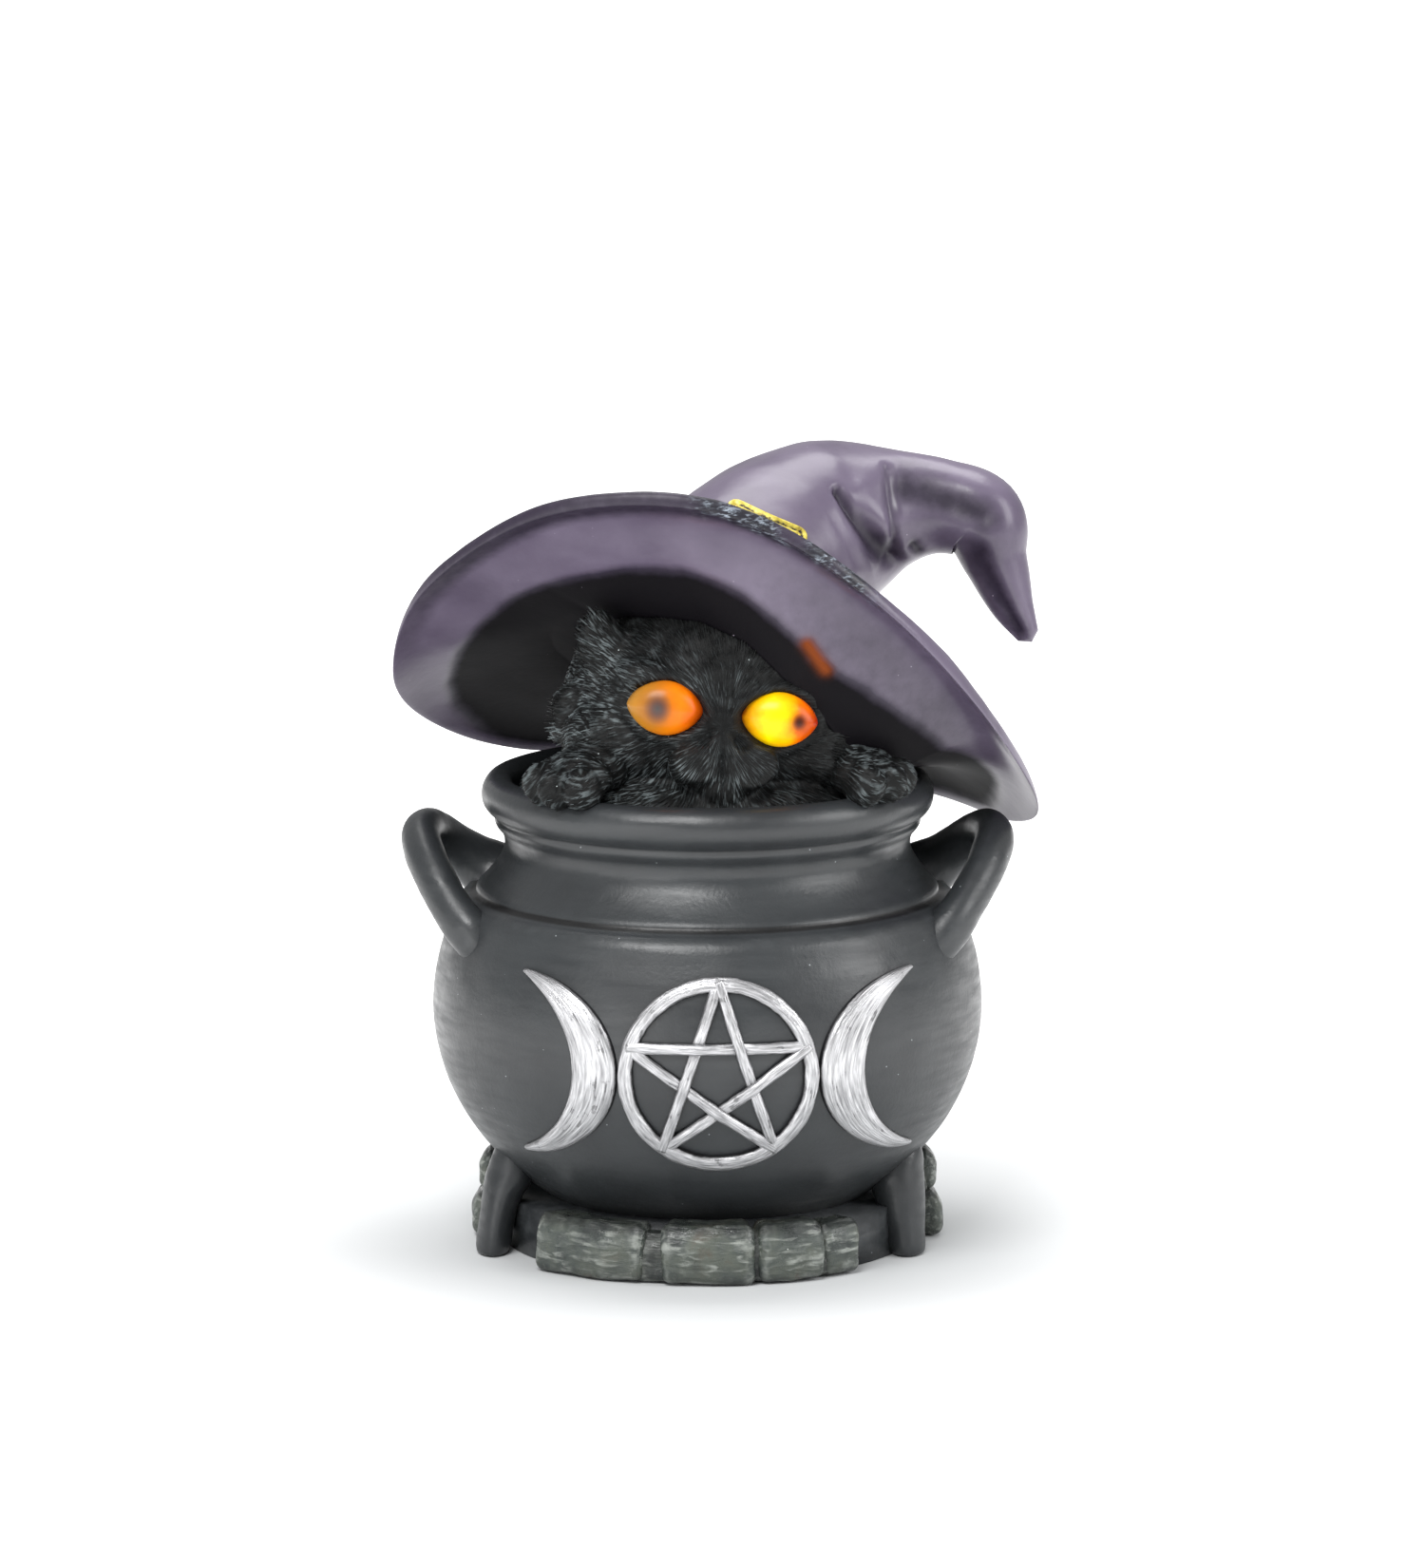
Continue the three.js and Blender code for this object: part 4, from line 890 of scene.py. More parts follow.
def stone_ring():
    parts = []
    front = [(-47.0, -15.6), (-11.6, 12.0), (12.4, 30.0), (29.8, 41.5)]
    for i, (a, b) in enumerate(front):
        parts.append(stone_block(a, b, 0, (9.0, 9.3, 9.2, 8.6)[i], RING["radius"] - (0.2, 0, 0.2, 0.9)[i], i))
    parts.append(stone_block(-41, 38, 0, 7.8, RING["radius"] - 1.3, 41, 0.8))
    for course, (bottom, top, count, shift) in enumerate([(0, 7.4, 7, 0), (6.9, 13.5, 6, 9)]):
        first, last = 84 + shift / 4, 276 - shift / 4
        pitch = (last - first) / count
        for k in range(count):
            set_back = 0.5 * course + 0.4 * math.sin(2.7 * k + course)
            a, b = first + k * pitch + 0.6, first + (k + 1) * pitch - 0.6
            parts.append(stone_block(a, b, bottom, top, RING["radius"] - 0.4 - set_back, 10 * course + k + 4))
    parts.append(stone_block(86, 274, 0, 12.2, RING["radius"] - 2.2, 42, 0.6))
    bed = [
        (0, RING["recess"]), (RING["felt"], RING["recess"]), (RING["felt"] + 0.1, 0), (RING["bed"], 0),
        (RING["bed"], 7.6), (0, 8),
    ]
    bed = lathe("bed", bed, 180, black)
    cut_bay(bed)
    ring = joined("stone_ring", parts + [bed])
    mark_relief(ring, 0.08, 2)
    seat(ring, "figure", "stone_paint", "stone_plinth")


# ---------------------------------------------------------------- silver emblem on the belly

def on_belly(x, z, rise):
    """A point on the front of the belly, standing out from it by rise."""
    x, z, rise = (np.asarray(v, float) for v in (x, z, rise))
    r = pot_radius(z)
    y = -np.sqrt(np.maximum(r * r - x * x, 0.01))
    slope = (pot_radius(z + 0.05) - pot_radius(z - 0.05)) / 0.1
    n = np.stack([x, y, -r * slope], -1)
    n /= np.linalg.norm(n, axis=-1)[..., None]
    return np.stack([x, y, z + 0 * x], -1) + n * rise[..., None]


SECTION = np.array(
    [
        (-0.5, -0.6), (-0.5, 0.35), (-0.43, 0.78), (-0.3, 0.96), (-0.1, 1.0), (0.1, 1.0), (0.3, 0.96),
        (0.43, 0.78), (0.5, 0.35), (0.5, -0.6),
    ]
)


def relief_strip(line, width, rise, closed, seed):
    """A raised strip laid on the belly along a line of (x, z) points, with softened edges."""
    line = np.asarray(line, float)
    along = np.roll(line, -1, 0) - np.roll(line, 1, 0) if closed else np.gradient(line, axis=0)
    along /= np.linalg.norm(along, axis=1)[:, None]
    across = np.column_stack([-along[:, 1], along[:, 0]])
    run = np.concatenate([[0], np.cumsum(np.linalg.norm(np.diff(line, axis=0), axis=1))])
    wavy = 1 + 0.04 * np.sin(run * 0.9 + seed) + 0.02 * np.sin(run * 2.6 + 2 * seed)
    rings, marks, strokes = [], [], []
    for k, (p, c) in enumerate(zip(line, across)):
        flat = p + np.outer(SECTION[:, 0] * width * wavy[k], c)
        height = np.where(SECTION[:, 1] > 0, SECTION[:, 1] * rise[k], SECTION[:, 1])
        rings.append(on_belly(flat[:, 0], flat[:, 1], height))
        marks.append(1 - np.clip(SECTION[:, 1], 0, 1))
        strokes.append(np.column_stack([np.full(10, run[k]), SECTION[:, 0] * width, np.full(10, seed * 5.0)]))
    obj = tube("strip", rings, closed, silver)
    store(obj, "side", np.concatenate(marks))
    store(obj, "stroke_at", np.vstack(strokes))
    return obj


def pentacle():
    middle = np.array([EMBLEM["x"], EMBLEM["z"]])
    a = 2 * np.pi * np.arange(220) / 220
    ring = middle + EMBLEM["ring"] * np.column_stack([np.sin(a), np.cos(a)])
    parts = [relief_strip(ring, EMBLEM["ring_width"], np.full(220, EMBLEM["relief"]), True, 1)]
    tips = [
        middle + (EMBLEM["ring"] + 0.35) * np.array([math.sin(b), math.cos(b)])
        for b in np.radians(72 * np.arange(5))
    ]
    t = np.linspace(0, 1, 70)
    # Each bar goes over the first bar it crosses and under the second.
    weave = EMBLEM["relief"] * (
        1.0 + 0.3 * hump(t, 0.382, 0.07) - 0.5 * hump(t, 0.618, 0.05)
        + 0.12 * hump(t, 0, 0.06) - 0.1 * hump(t, 1, 0.06)
    )
    for i in range(5):
        bar = tips[i] + t[:, None] * (tips[(i + 2) % 5] - tips[i])
        parts.append(relief_strip(bar, EMBLEM["bar"], weave, False, i + 2))
    star = joined("pentacle_relief", parts)
    seat(star, "figure", "silver_paint", "pentacle")


def crescent_moon(side, name, node):
    """A pillowed crescent with its full side towards the ring."""
    half = MOON["height"] / 2
    near = EMBLEM["x"] + side * MOON["near"]
    tip = near + side * MOON["bulge"]

    def edge(bulge, share):
        radius = (half * half + bulge * bulge) / (2 * bulge)
        sweep = math.pi - math.asin(half / radius) if bulge > half else math.asin(half / radius)
        a = -sweep + 2 * sweep * share
        return np.column_stack(
            [tip - side * (bulge - radius * (1 - np.cos(a))), EMBLEM["z"] + radius * np.sin(a)]
        )

    rows, columns = 90, 19
    v = np.linspace(0.03, 0.97, rows)
    full, hollow = edge(MOON["bulge"], v), edge(MOON["hollow"], v)
    u = np.linspace(0, 1, columns)
    pillow = np.concatenate([[-0.6], np.maximum(0.0, 1 - np.abs(2 * u - 1) ** 3.2) ** 0.5, [-0.6]])
    share = np.concatenate([[0], u, [1]])
    rings, marks, strokes = [], [], []
    for k in range(rows):
        flat = full[k] + share[:, None] * (hollow[k] - full[k])
        wide = np.linalg.norm(hollow[k] - full[k])
        rise = 1.25 * min(1, 0.35 + wide / 4)
        height = np.where(pillow > 0, 0.1 + pillow * (rise - 0.1), pillow)
        rings.append(on_belly(flat[:, 0], flat[:, 1], height))
        marks.append(1 - np.clip(pillow * 1.6, 0, 1))
        strokes.append(
            np.column_stack([np.full(columns + 2, v[k] * 34), share * 6.5, np.full(columns + 2, 40 + side)])
        )
    moon = skin(name, rings, finish=silver)
    store(moon, "side", np.concatenate([*marks, [1, 1]]))
    store(moon, "stroke_at", np.vstack([*strokes, strokes[0][:1], strokes[-1][:1]]))
    seat(moon, "figure", "silver_paint", node)


# ---------------------------------------------------------------- witch hat

COLUMNS = 300


def crown_ring():
    a = 2 * np.pi * (np.arange(COLUMNS) / COLUMNS) - 0.14
    return a, np.column_stack([
        CROWN["x"] + CROWN["half_width"] * np.sin(a),
        CROWN["y"] - CROWN["half_depth"] * np.cos(a),
        CROWN["z"] + CROWN["pitch"] * np.cos(a) + CROWN["roll"] * np.sin(a),
    ])


def brim_row(share, up, beneath=0.0):
    inner = crown_ring()[1]
    turn = (np.arange(COLUMNS) / COLUMNS + 0.4) % 1 - 0.4
    table = np.array(COME_IN)
    inner += beneath * np.column_stack([np.interp(turn, table[:, 0], table[:, k]) for k in (1, 2, 3)])
    edge = through(BRIM_EDGE, COLUMNS, closed=True)
    row = inner + share * (edge - inner)
    row[:, 2] += up + 4 * BRIM["lift"] * share * (1 - share) * (0.4 + 0.6 * share)
    return row


def cone_rows(count):
    spine = through(CONE, count)
    along = np.gradient(spine[:, :3], axis=0)
    along /= np.linalg.norm(along, axis=1)[:, None]
    a = crown_ring()[0]
    rows = []
    for centre, t in zip(spine, along):
        front = np.array([0, -1, 0]) + t * t[1]
        front /= np.linalg.norm(front)
        side = np.cross(front, t)
        side /= np.linalg.norm(side)
        rows.append(centre[:3] + centre[3] * (np.outer(np.cos(a), front) - np.outer(np.sin(a), side)))
    return rows, spine[-1, :3] + 1.2 * along[-1]


# Folds pressed into the front of the cone, as seen from the front: the (x, z) ends, depth, width at each end, and
# how much painted shade lies in them.
FOLDS = [
    ((19.8, 114.8), (28.0, 103.2), 1.5, 0.6, 1.9, 0.85),
    ((27.6, 117.5), (28.9, 103.4), 0.9, 0.6, 0.8, 0.5),
    ((30.6, 114.6), (42.0, 110.4), 1.2, 3.2, 2.4, 0.85),
    ((31.4, 105.4), (32.2, 104.4), 0.5, 0.8, 0.8, 0.8),
    ((41.2, 103.4), (47.5, 92.0), 0.9, 2.4, 1.6, 0.85),
]
# Where the dark painted shade under the brim ends and the paler painted highlight band towards the edge begins:
# (turn from the front, share of the way to the edge).
DARK_UNDER = [
    (0.0, 0.34), (0.06, 0.26), (0.12, 0.2), (0.18, 0.3), (0.26, 0.42), (0.31, 0.62), (0.38, 0.92), (0.5, 0.97),
    (0.66, 0.95), (0.71, 0.8), (0.76, 0.6), (0.83, 0.38), (0.9, 0.3), (1.0, 0.34),
]


def away_from_fold(points, a, b):
    """Distance from a fold as seen from the front, and how far along it."""
    flat = points * [1, 0, 1]
    return from_segment(flat, (a[0], 0, a[1]), (b[0], 0, b[1]))


def witch_hat():
    half_of = lambda s: BRIM["half"] + BRIM["roll"] * float(ease(0.7, 0.95, s))
    thin = lambda s: BRIM["half"] * (1 - 0.75 * float(ease(0.5, 0.97, s)))
    under = [brim_row(s, -thin(s), 1 - float(ease(0.0, 0.93, s)) ** 2) for s in np.linspace(0.0, 0.93, 44)]
    lap = half_of(1) / 30
    rolled = []
    for f in np.radians(np.linspace(-75, 75, 13)):
        up = math.sin(f) * (half_of(1) if f > 0 else thin(1))
        rolled.append(brim_row(1 - lap * (1 - math.cos(f)), up))
    over = [brim_row(s, half_of(s)) for s in np.linspace(0.93, 0.3, 30)]
    cone, tip = cone_rows(130)
    mouth = [over[-1] + (cone[0] - over[-1]) * s for s in (0.25, 0.5, 0.75)]
    throat = np.array([CROWN["x"], CROWN["y"], CROWN["z"] + BRIM["throat"]])
    inside = [throat + (under[0] - throat) * s for s in (0.3, 0.65)]
    rings = inside + under + rolled + over + mouth + cone
    shares = [0, 0] + list(np.linspace(0, 0.93, 44)) + [1] * 13 + list(np.linspace(0.93, 0.3, 30)) + [0.25] * 3 + [0] * 130
    below = [1] * (2 + 44) + list(np.linspace(1, 0, 13)) + [0] * (30 + 3 + 130)
    turn = np.arange(COLUMNS) / COLUMNS
    hat = skin("hat", rings, (throat, tip), hat_finish)
    share = np.append(np.repeat(shares, COLUMNS), [0, 0])
    beneath = np.append(np.repeat(below, COLUMNS), [1, 0])
    around = np.append(np.tile(turn, len(rings)), [0, 0])

    # The outside clears the crown of the head, then the foot of the cone is eased into the brim.
    points = points_of(hat)
    centre, radii = np.array(HEAD["centre"]), np.array(HEAD["radii"]) + 2.2
    depth = np.linalg.norm((points - centre) / radii, axis=1)
    push = (beneath < 0.5) & (depth < 1)
    points[push] = centre + (points[push] - centre) / depth[push][:, None]
    set_points(hat, points)
    row = np.append(np.repeat(np.arange(len(rings)), COLUMNS), [0, len(rings) - 1])
    joint_row = len(inside) + 44 + 13 + 30 + 1
    soften(hat, 26, ease(16, 6, np.abs(row - joint_row)))
    soften(hat, 6, ease(30, 20, np.abs(row - joint_row - 10)))

    points = points_of(hat)
    outside = 1 - beneath
    facing = outside * ease(0.0, -0.45, normals_of(hat)[:, 1]) * (row > joint_row)
    # Each fold is pressed in and darkened with painted shade, as seen from the front.
    press, dark = np.zeros(len(points)), np.zeros(len(points))
    for a, b, deep, wide_a, wide_b, tone in FOLDS:
        away, place = away_from_fold(points, a, b)
        wide = wide_a + (wide_b - wide_a) * place
        press -= facing * deep * np.exp(-((away / wide) ** 2))
        dark = np.maximum(dark, facing * tone * np.exp(-((away / (1.15 * wide)) ** 2)))
    ridge_away, _ = away_from_fold(points, (23.5, 114.5), (30.5, 103.5))
    press += 0.4 * facing * np.exp(-((ridge_away / 1.4) ** 2))
    # Painted shade: near black under the brim inwards of this line, and outwards the dusty purple stands as a
    # painted highlight band.
    dark_to = np.interp(around, *zip(*DARK_UNDER)) + 0.015 * lumps(points, 5, 33)
    painted_under_brim_shade = beneath * (1 - ease(dark_to - 0.06, dark_to + 0.12, share))
    press -= 0.4 * painted_under_brim_shade
    press += outside * (
        0.3 * lumps(points, 12, 21) + 0.08 * lumps(points, 3.5, 22)
    ) * ease(0, 0.4, 1 - share + 0.2)
    push_out(hat, press)

    points = points_of(hat)
    # Painted light: an orange spot of the eye's light on the underside of the brim, with darker paint round it.
    eye_light_away, _ = away_from_fold(points, (14.9, 96.0), (17.6, 92.0))
    painted_light = beneath * np.exp(-((eye_light_away / 1.0) ** 2)) * (points[:, 1] < -12)
    # Pale flecks on a dark strip along the front edge of the brim: dry-brushed, and partly a painted highlight.
    at_front = ease(-12, -20, points[:, 1]) * ease(-4, 1, points[:, 0]) * ease(27, 23, points[:, 0])
    strip = at_front * ease(0.78, 0.9, share) * ease(-0.4, 0.2, lumps(points, 6, 34))
    # Painted shade: darker under the right of the brim, and along the outer edge at the front.
    right = np.abs((around + 0.5) % 1 - 0.76)
    painted_shade_bands = 0.3 * beneath * ease(0.24, 0.12, right) * ease(1.05, 0.5, share)
    painted_shade_bands += 0.5 * ease(0.22, 0.08, np.abs((around + 0.5) % 1 - 0.47)) * ease(0.72, 0.9, share)
    shade = np.clip(
        painted_under_brim_shade + painted_shade_bands + 0.7 * painted_light + 0.6 * dark + 0.12 * outside * ease(0.2, 0.5, lumps(points, 9, 31)), 0, 1,
    )
    store(hat, "shade", shade)
    store(hat, "painted_light", 0.3 * painted_light)
    store(hat, "brushed", strip)
    seat(hat, "figure", "hat_resin", "witch_hat")
    grid = (len(rings), COLUMNS, 3)
    place, normal = points_of(hat)[:-2].reshape(grid), normals_of(hat)[:-2].reshape(grid)
    return place[joint_row + 2 :], normal[joint_row + 2 :]


# ---------------------------------------------------------------- kitten

def eye_place(node):
    low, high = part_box(node)
    middle = (low + high) / 2 / MM
    return np.array([middle.x, -24.8, middle.z])


EYES = [eye_place("eye_lens_left"), eye_place("eye_lens_right")]


def eye_distance(points, centre):
    """1 on the almond outline of an eye, less inside."""
    tilt = math.radians(EYE["tilt"])
    x, z = points[:, 0] - centre[0], points[:, 2] - centre[2]
    u = (x * math.cos(tilt) - z * math.sin(tilt)) / (EYE["width"] / 2)
    v = (x * math.sin(tilt) + z * math.cos(tilt)) / (EYE["height"] / 2)
    return np.sqrt(u * u + (np.abs(v) * (1 + 0.25 * u * u)) ** 2)


def eye_dome(centre, name, node, finish):
    """An almond dome with pointed corners, seated in the face."""
    count = 96
    a = 2 * np.pi * np.arange(count) / count
    x = EYE["width"] / 2 * np.cos(a)
    z = EYE["height"] / 2 * np.sign(np.sin(a)) * np.abs(np.sin(a)) ** 1.42
    tilt = math.radians(-EYE["tilt"])
    flat = np.column_stack([x * math.cos(tilt) - z * math.sin(tilt), x * math.sin(tilt) + z * math.cos(tilt)])
    rings = []
    for s in np.sin(np.radians(np.linspace(3, 90, 22))):
        y = centre[1] - EYE["dome"] * math.sqrt(max(0, 1 - s * s))
        rings.append(np.column_stack([centre[0] + s * flat[:, 0], np.full(count, y), centre[2] + s * flat[:, 1]]))
    for s, y in ((1.0, 1.2), (0.9, 2.4)):
        rings.append(
            np.column_stack(
                [centre[0] + s * flat[:, 0], np.full(count, centre[1] + y), centre[2] + s * flat[:, 1]]
            )
        )
    dome = skin(name, rings, finish=finish)
    seat(dome, "figure", "eye_amber", node)


def comb(obj, seed=0):
    """Fur lies away from the bridge of the nose: stores its direction and a grid that follows it."""
    points, normals = points_of(obj), normals_of(obj)
    away = points - np.array(BRIDGE)
    wave = 0.35 * np.column_stack(
        [lumps(points, 6, seed + 40), lumps(points, 6, seed + 41), lumps(points, 6, seed + 42)]
    )
    way = away / np.maximum(np.linalg.norm(away, axis=1), 0.5)[:, None] + wave + np.array([0, 0, -0.12])
    way -= normals * np.einsum("ij,ij->i", way, normals)[:, None]
    way /= np.maximum(np.linalg.norm(way, axis=1), 1e-6)[:, None]
    store(obj, "comb", way)
    distance = np.linalg.norm(away, axis=1)
    bearing = np.arctan2(away[:, 0], away[:, 2] + 1e-6)
    swing = bearing + 0.12 * lumps(points, 7, seed + 44)
    store(obj, "comb_at", np.column_stack([swing * 16, distance, 0 * distance]))


def fur_tree():
    """Geometry nodes that set small carved strokes of fur over a surface, combed one way."""
    tree = bpy.data.node_groups.new("combed_fur", "GeometryNodeTree")
    for name, kind in (
        ("Surface", "NodeSocketGeometry"), ("Stroke", "NodeSocketObject"), ("Spacing", "NodeSocketFloat"),
        ("Shortest", "NodeSocketVector"), ("Longest", "NodeSocketVector"), ("Seed", "NodeSocketInt"),
        ("Finish", "NodeSocketMaterial"),
    ):
        tree.interface.new_socket(name, in_out="INPUT", socket_type=kind)
    tree.interface.new_socket("Fur", in_out="OUTPUT", socket_type="NodeSocketGeometry")
    given = add(tree, "NodeGroupInput").outputs
    furred = add(tree, "GeometryNodeInputNamedAttribute", {"Name": "furred"}, data_type="FLOAT")
    spread = add(
        tree, "GeometryNodeDistributePointsOnFaces",
        {
            "Mesh": given["Surface"], "Distance Min": given["Spacing"], "Density Max": 6000000.0,
            "Density Factor": furred.outputs[0], "Seed": given["Seed"],
        },
        distribute_method="POISSON",
    )
    way = add(tree, "GeometryNodeInputNamedAttribute", {"Name": "comb"}, data_type="FLOAT_VECTOR")
    upright = add(tree, "FunctionNodeAlignRotationToVector", {"Vector": spread.outputs["Normal"]}, axis="Z")
    laid = add(
        tree, "FunctionNodeAlignRotationToVector", {"Rotation": upright.outputs[0], "Vector": way.outputs[0]},
        axis="X", pivot_axis="Z",
    )
    chance = add(tree, "FunctionNodeRandomValue", {"Seed": given["Seed"]}, data_type="FLOAT")
    marked = add(
        tree, "GeometryNodeStoreNamedAttribute",
        {"Geometry": spread.outputs["Points"], "Name": "brushed", "Value": chance.outputs[1]}, data_type="FLOAT",
        domain="POINT",
    )
    size = add(
        tree, "FunctionNodeRandomValue", {0: given["Shortest"], 1: given["Longest"], "Seed": given["Seed"]},
        data_type="FLOAT_VECTOR",
    )
    length = add(tree, "GeometryNodeInputNamedAttribute", {"Name": "fur_length"}, data_type="FLOAT")
    sized = add(tree, "ShaderNodeVectorMath", {0: size.outputs[0], "Scale": length.outputs[0]}, operation="SCALE")
    stroke = add(tree, "GeometryNodeObjectInfo", {"Object": given["Stroke"]})
    placed = add(tree, "GeometryNodeInstanceOnPoints", {
        "Points": marked.outputs[0], "Instance": stroke.outputs["Geometry"], "Rotation": laid.outputs[0],
        "Scale": sized.outputs[0],
    })
    real = add(tree, "GeometryNodeRealizeInstances", {0: placed.outputs[0]})
    painted = add(tree, "GeometryNodeSetMaterial", {"Geometry": real.outputs[0], "Material": given["Finish"]})
    add(tree, "NodeGroupOutput", {0: painted.outputs[0]})
    return tree


def fur_stroke():
    """One carved stroke: a low ridge 1 mm long that swells and then thins to a point."""
    stations = [(0.0, 0.05, 0.01), (0.25, 0.13, 0.11), (0.6, 0.11, 0.12), (1.0, 0.02, 0.02)]
    points = []
    for x, half, rise in stations:
        points += [(x, -half, -0.08), (x, half, -0.08), (x, 0, rise)]
    faces = []
    for i in range(3):
        a = 3 * i
        faces += [(a, a + 3, a + 5, a + 2), (a + 1, a + 2, a + 5, a + 4), (a, a + 1, a + 4, a + 3)]
    faces += [(0, 2, 1), (9, 10, 11)]
    return new_piece("stroke", points, faces)


FUR = {"tree": fur_tree(), "stroke": fur_stroke()}


def comb_fur(name, over, spacing, shortest, longest, seed):
    """Strokes of fur over a piece, as a plain mesh."""
    base = bpy.data.objects.new(name, over.data.copy())
    bpy.context.scene.collection.objects.link(base)
    grow = base.modifiers.new("fur", "NODES")
    grow.node_group = FUR["tree"]
    given = {
        "Stroke": FUR["stroke"], "Spacing": spacing * MM, "Shortest": shortest, "Longest": longest, "Seed": seed,
        "Finish": fur_strands,
    }
    for item in FUR["tree"].interface.items_tree:
        if item.item_type == "SOCKET" and item.in_out == "INPUT" and item.name in given:
            grow[item.identifier] = given[item.name]
    return plain_mesh(base)


def kitten_head():
    cx, cy, cz = HEAD["centre"]
    parts = [
        egg((cx, cy, cz), HEAD["radii"]),
        egg((0, 0, 66.5), (28.9, 28.9, 8.2)),
        egg((0, -1.5, 70.2), (28.6, 27.2, 6.6)),
        egg((2.0, -8, 73), (21, 15, 8)),
        egg((-1.5, -26.0, 77.6), (4.7, 3.7, 3.6), (0, 12, 0)),
        egg((6.0, -26.0, 77.2), (4.7, 3.7, 3.6), (0, -8, 0)),
        egg((2.2, -25.2, 73.6), (3.9, 3.4, 2.8)),
        egg((2.4, -25.2, 84.5), (2.3, 3.4, 5.6), (-14, 3, 0)),
        egg((2.4, -28.7, 80.9), (2.0, 1.5, 1.4)),
        egg((-7.2, -22.0, 90.6), (6.6, 3.2, 2.5), (0, 8, 0)),
        egg((11.2, -21.6, 88.8), (6.6, 3.2, 2.5), (0, 14, 0)),
        egg((-13.5, -17.2, 80.2), (8.2, 6.0, 6.0)),
        egg((17.2, -16.6, 78.6), (8.2, 6.0, 6.0)),
        egg((-16.2, -16.2, 94.2), (3.4, 2.4, 5.6), (0, -6, 24)),
        egg((-14.0, -16.9, 93.4), (2.4, 1.6, 4.8), (0, -4, 24)),
        egg((-20.6, -12.5, 84.6), (2.8, 2.2, 3.4), (0, 30, 0)),
        egg((-21.0, -12.8, 80.6), (3.0, 2.4, 2.6), (0, 20, 0)),
        egg((-18.4, -15.0, 76.6), (3.6, 3.0, 3.0), (0, 10, 0)),
    ]
    head = moulded("kitten", parts, 0.55, fur_skin, 5)
    points, normals = points_of(head), normals_of(head)
    sockets = np.zeros(len(points))
    near_eye = np.zeros(len(points))
    for centre in EYES:
        d = eye_distance(points, centre)
        in_front = points[:, 1] < centre[1] + 8
        sink = (1 - ease(0.9, 1.08, d)) * in_front
        lid = hump(d, 1.2, 0.16) * in_front
        points[:, 1] += sink * np.maximum(0, centre[1] + 0.4 - points[:, 1])
        points[:, 1] -= 0.75 * lid
        sockets = np.maximum(sockets, (1 - ease(1.1, 1.25, d)) * in_front)
        near_eye = np.maximum(near_eye, (1 - ease(1.2, 1.9, d)) * in_front)
    points[:, 2] = np.maximum(points[:, 2], 65.7)
    low = np.linalg.norm(points[:, :2], axis=1) > 29.1
    points[low, :2] *= (29.1 / np.linalg.norm(points[low, :2], axis=1))[:, None]
    set_points(head, points)
    soften(head, 1)
    points = points_of(head)
    push_out(head, (0.35 * lumps(points, 4.5, 51) + 0.2 * lumps(points, 1.8, 52)) * (1 - sockets))
    points = points_of(head)
    nose_away = np.linalg.norm((points - np.array([2.5, -29, 81.5])) / np.array([2.2, 3, 1.5]), axis=1)
    mouth_away, _ = from_segment(points, (2.2, -29, 79.8), (2.2, -28.5, 75.4))
    push_out(head, -0.7 * np.exp(-((mouth_away / 0.6) ** 2)))
    comb(head)
    facing = ease(12, -4, points[:, 1])
    pads = np.minimum(
        *(
            np.linalg.norm((points - np.array([x, -28, 77.2])) / np.array([4.4, 4, 3.6]), axis=1)
            for x in (-1.5, 6.0)
        )
    )
    furred = facing * (1 - sockets) * ease(0.95, 1.25, nose_away) * (
        0.04 + 0.96 * ease(0.85, 1.25, pads)
    ) * ease(67, 70, points[:, 2])
    # Painted light: the dry-brushed grey is stronger on the left side of the face, on the forehead and on the
    # left ear, where the light falls, and weaker round the eyes.
    left = ease(14, -6, points[:, 0] - 0.35 * (84 - points[:, 2]))
    forehead = ease(97, 88, points[:, 2])
    drybrush_and_painted_light = (0.16 + 0.84 * left) * (0.12 + 0.88 * forehead) * (1 - 0.3 * near_eye)
    ear = np.exp(-((from_segment(points, (-17.4, -17, 98.6), (-14.6, -18, 93.0))[0] / 2.6) ** 2))
    muzzle = np.exp(-((from_segment(points, (-2, -29, 79), (7, -29, 79))[0] / 4.0) ** 2))
    store(head, "drybrush_and_painted_light", np.clip(np.maximum(np.maximum(drybrush_and_painted_light, 1.2 * ear), 0.28 * muzzle), 0, 1))
    store(head, "furred", furred)
    store(head, "fur_length", 1 - 0.45 * near_eye - 0.45 * muzzle)
    mark_relief(head, 0.05)
    seat(head, "figure", "fur_resin", "kitten_bust")
    fur = comb_fur("kitten_fur", head, 0.52, (1.3, 0.75, 0.6), (2.6, 1.3, 1.1), 3)
    seat(fur, "figure", "fur_resin", "kitten_bust")


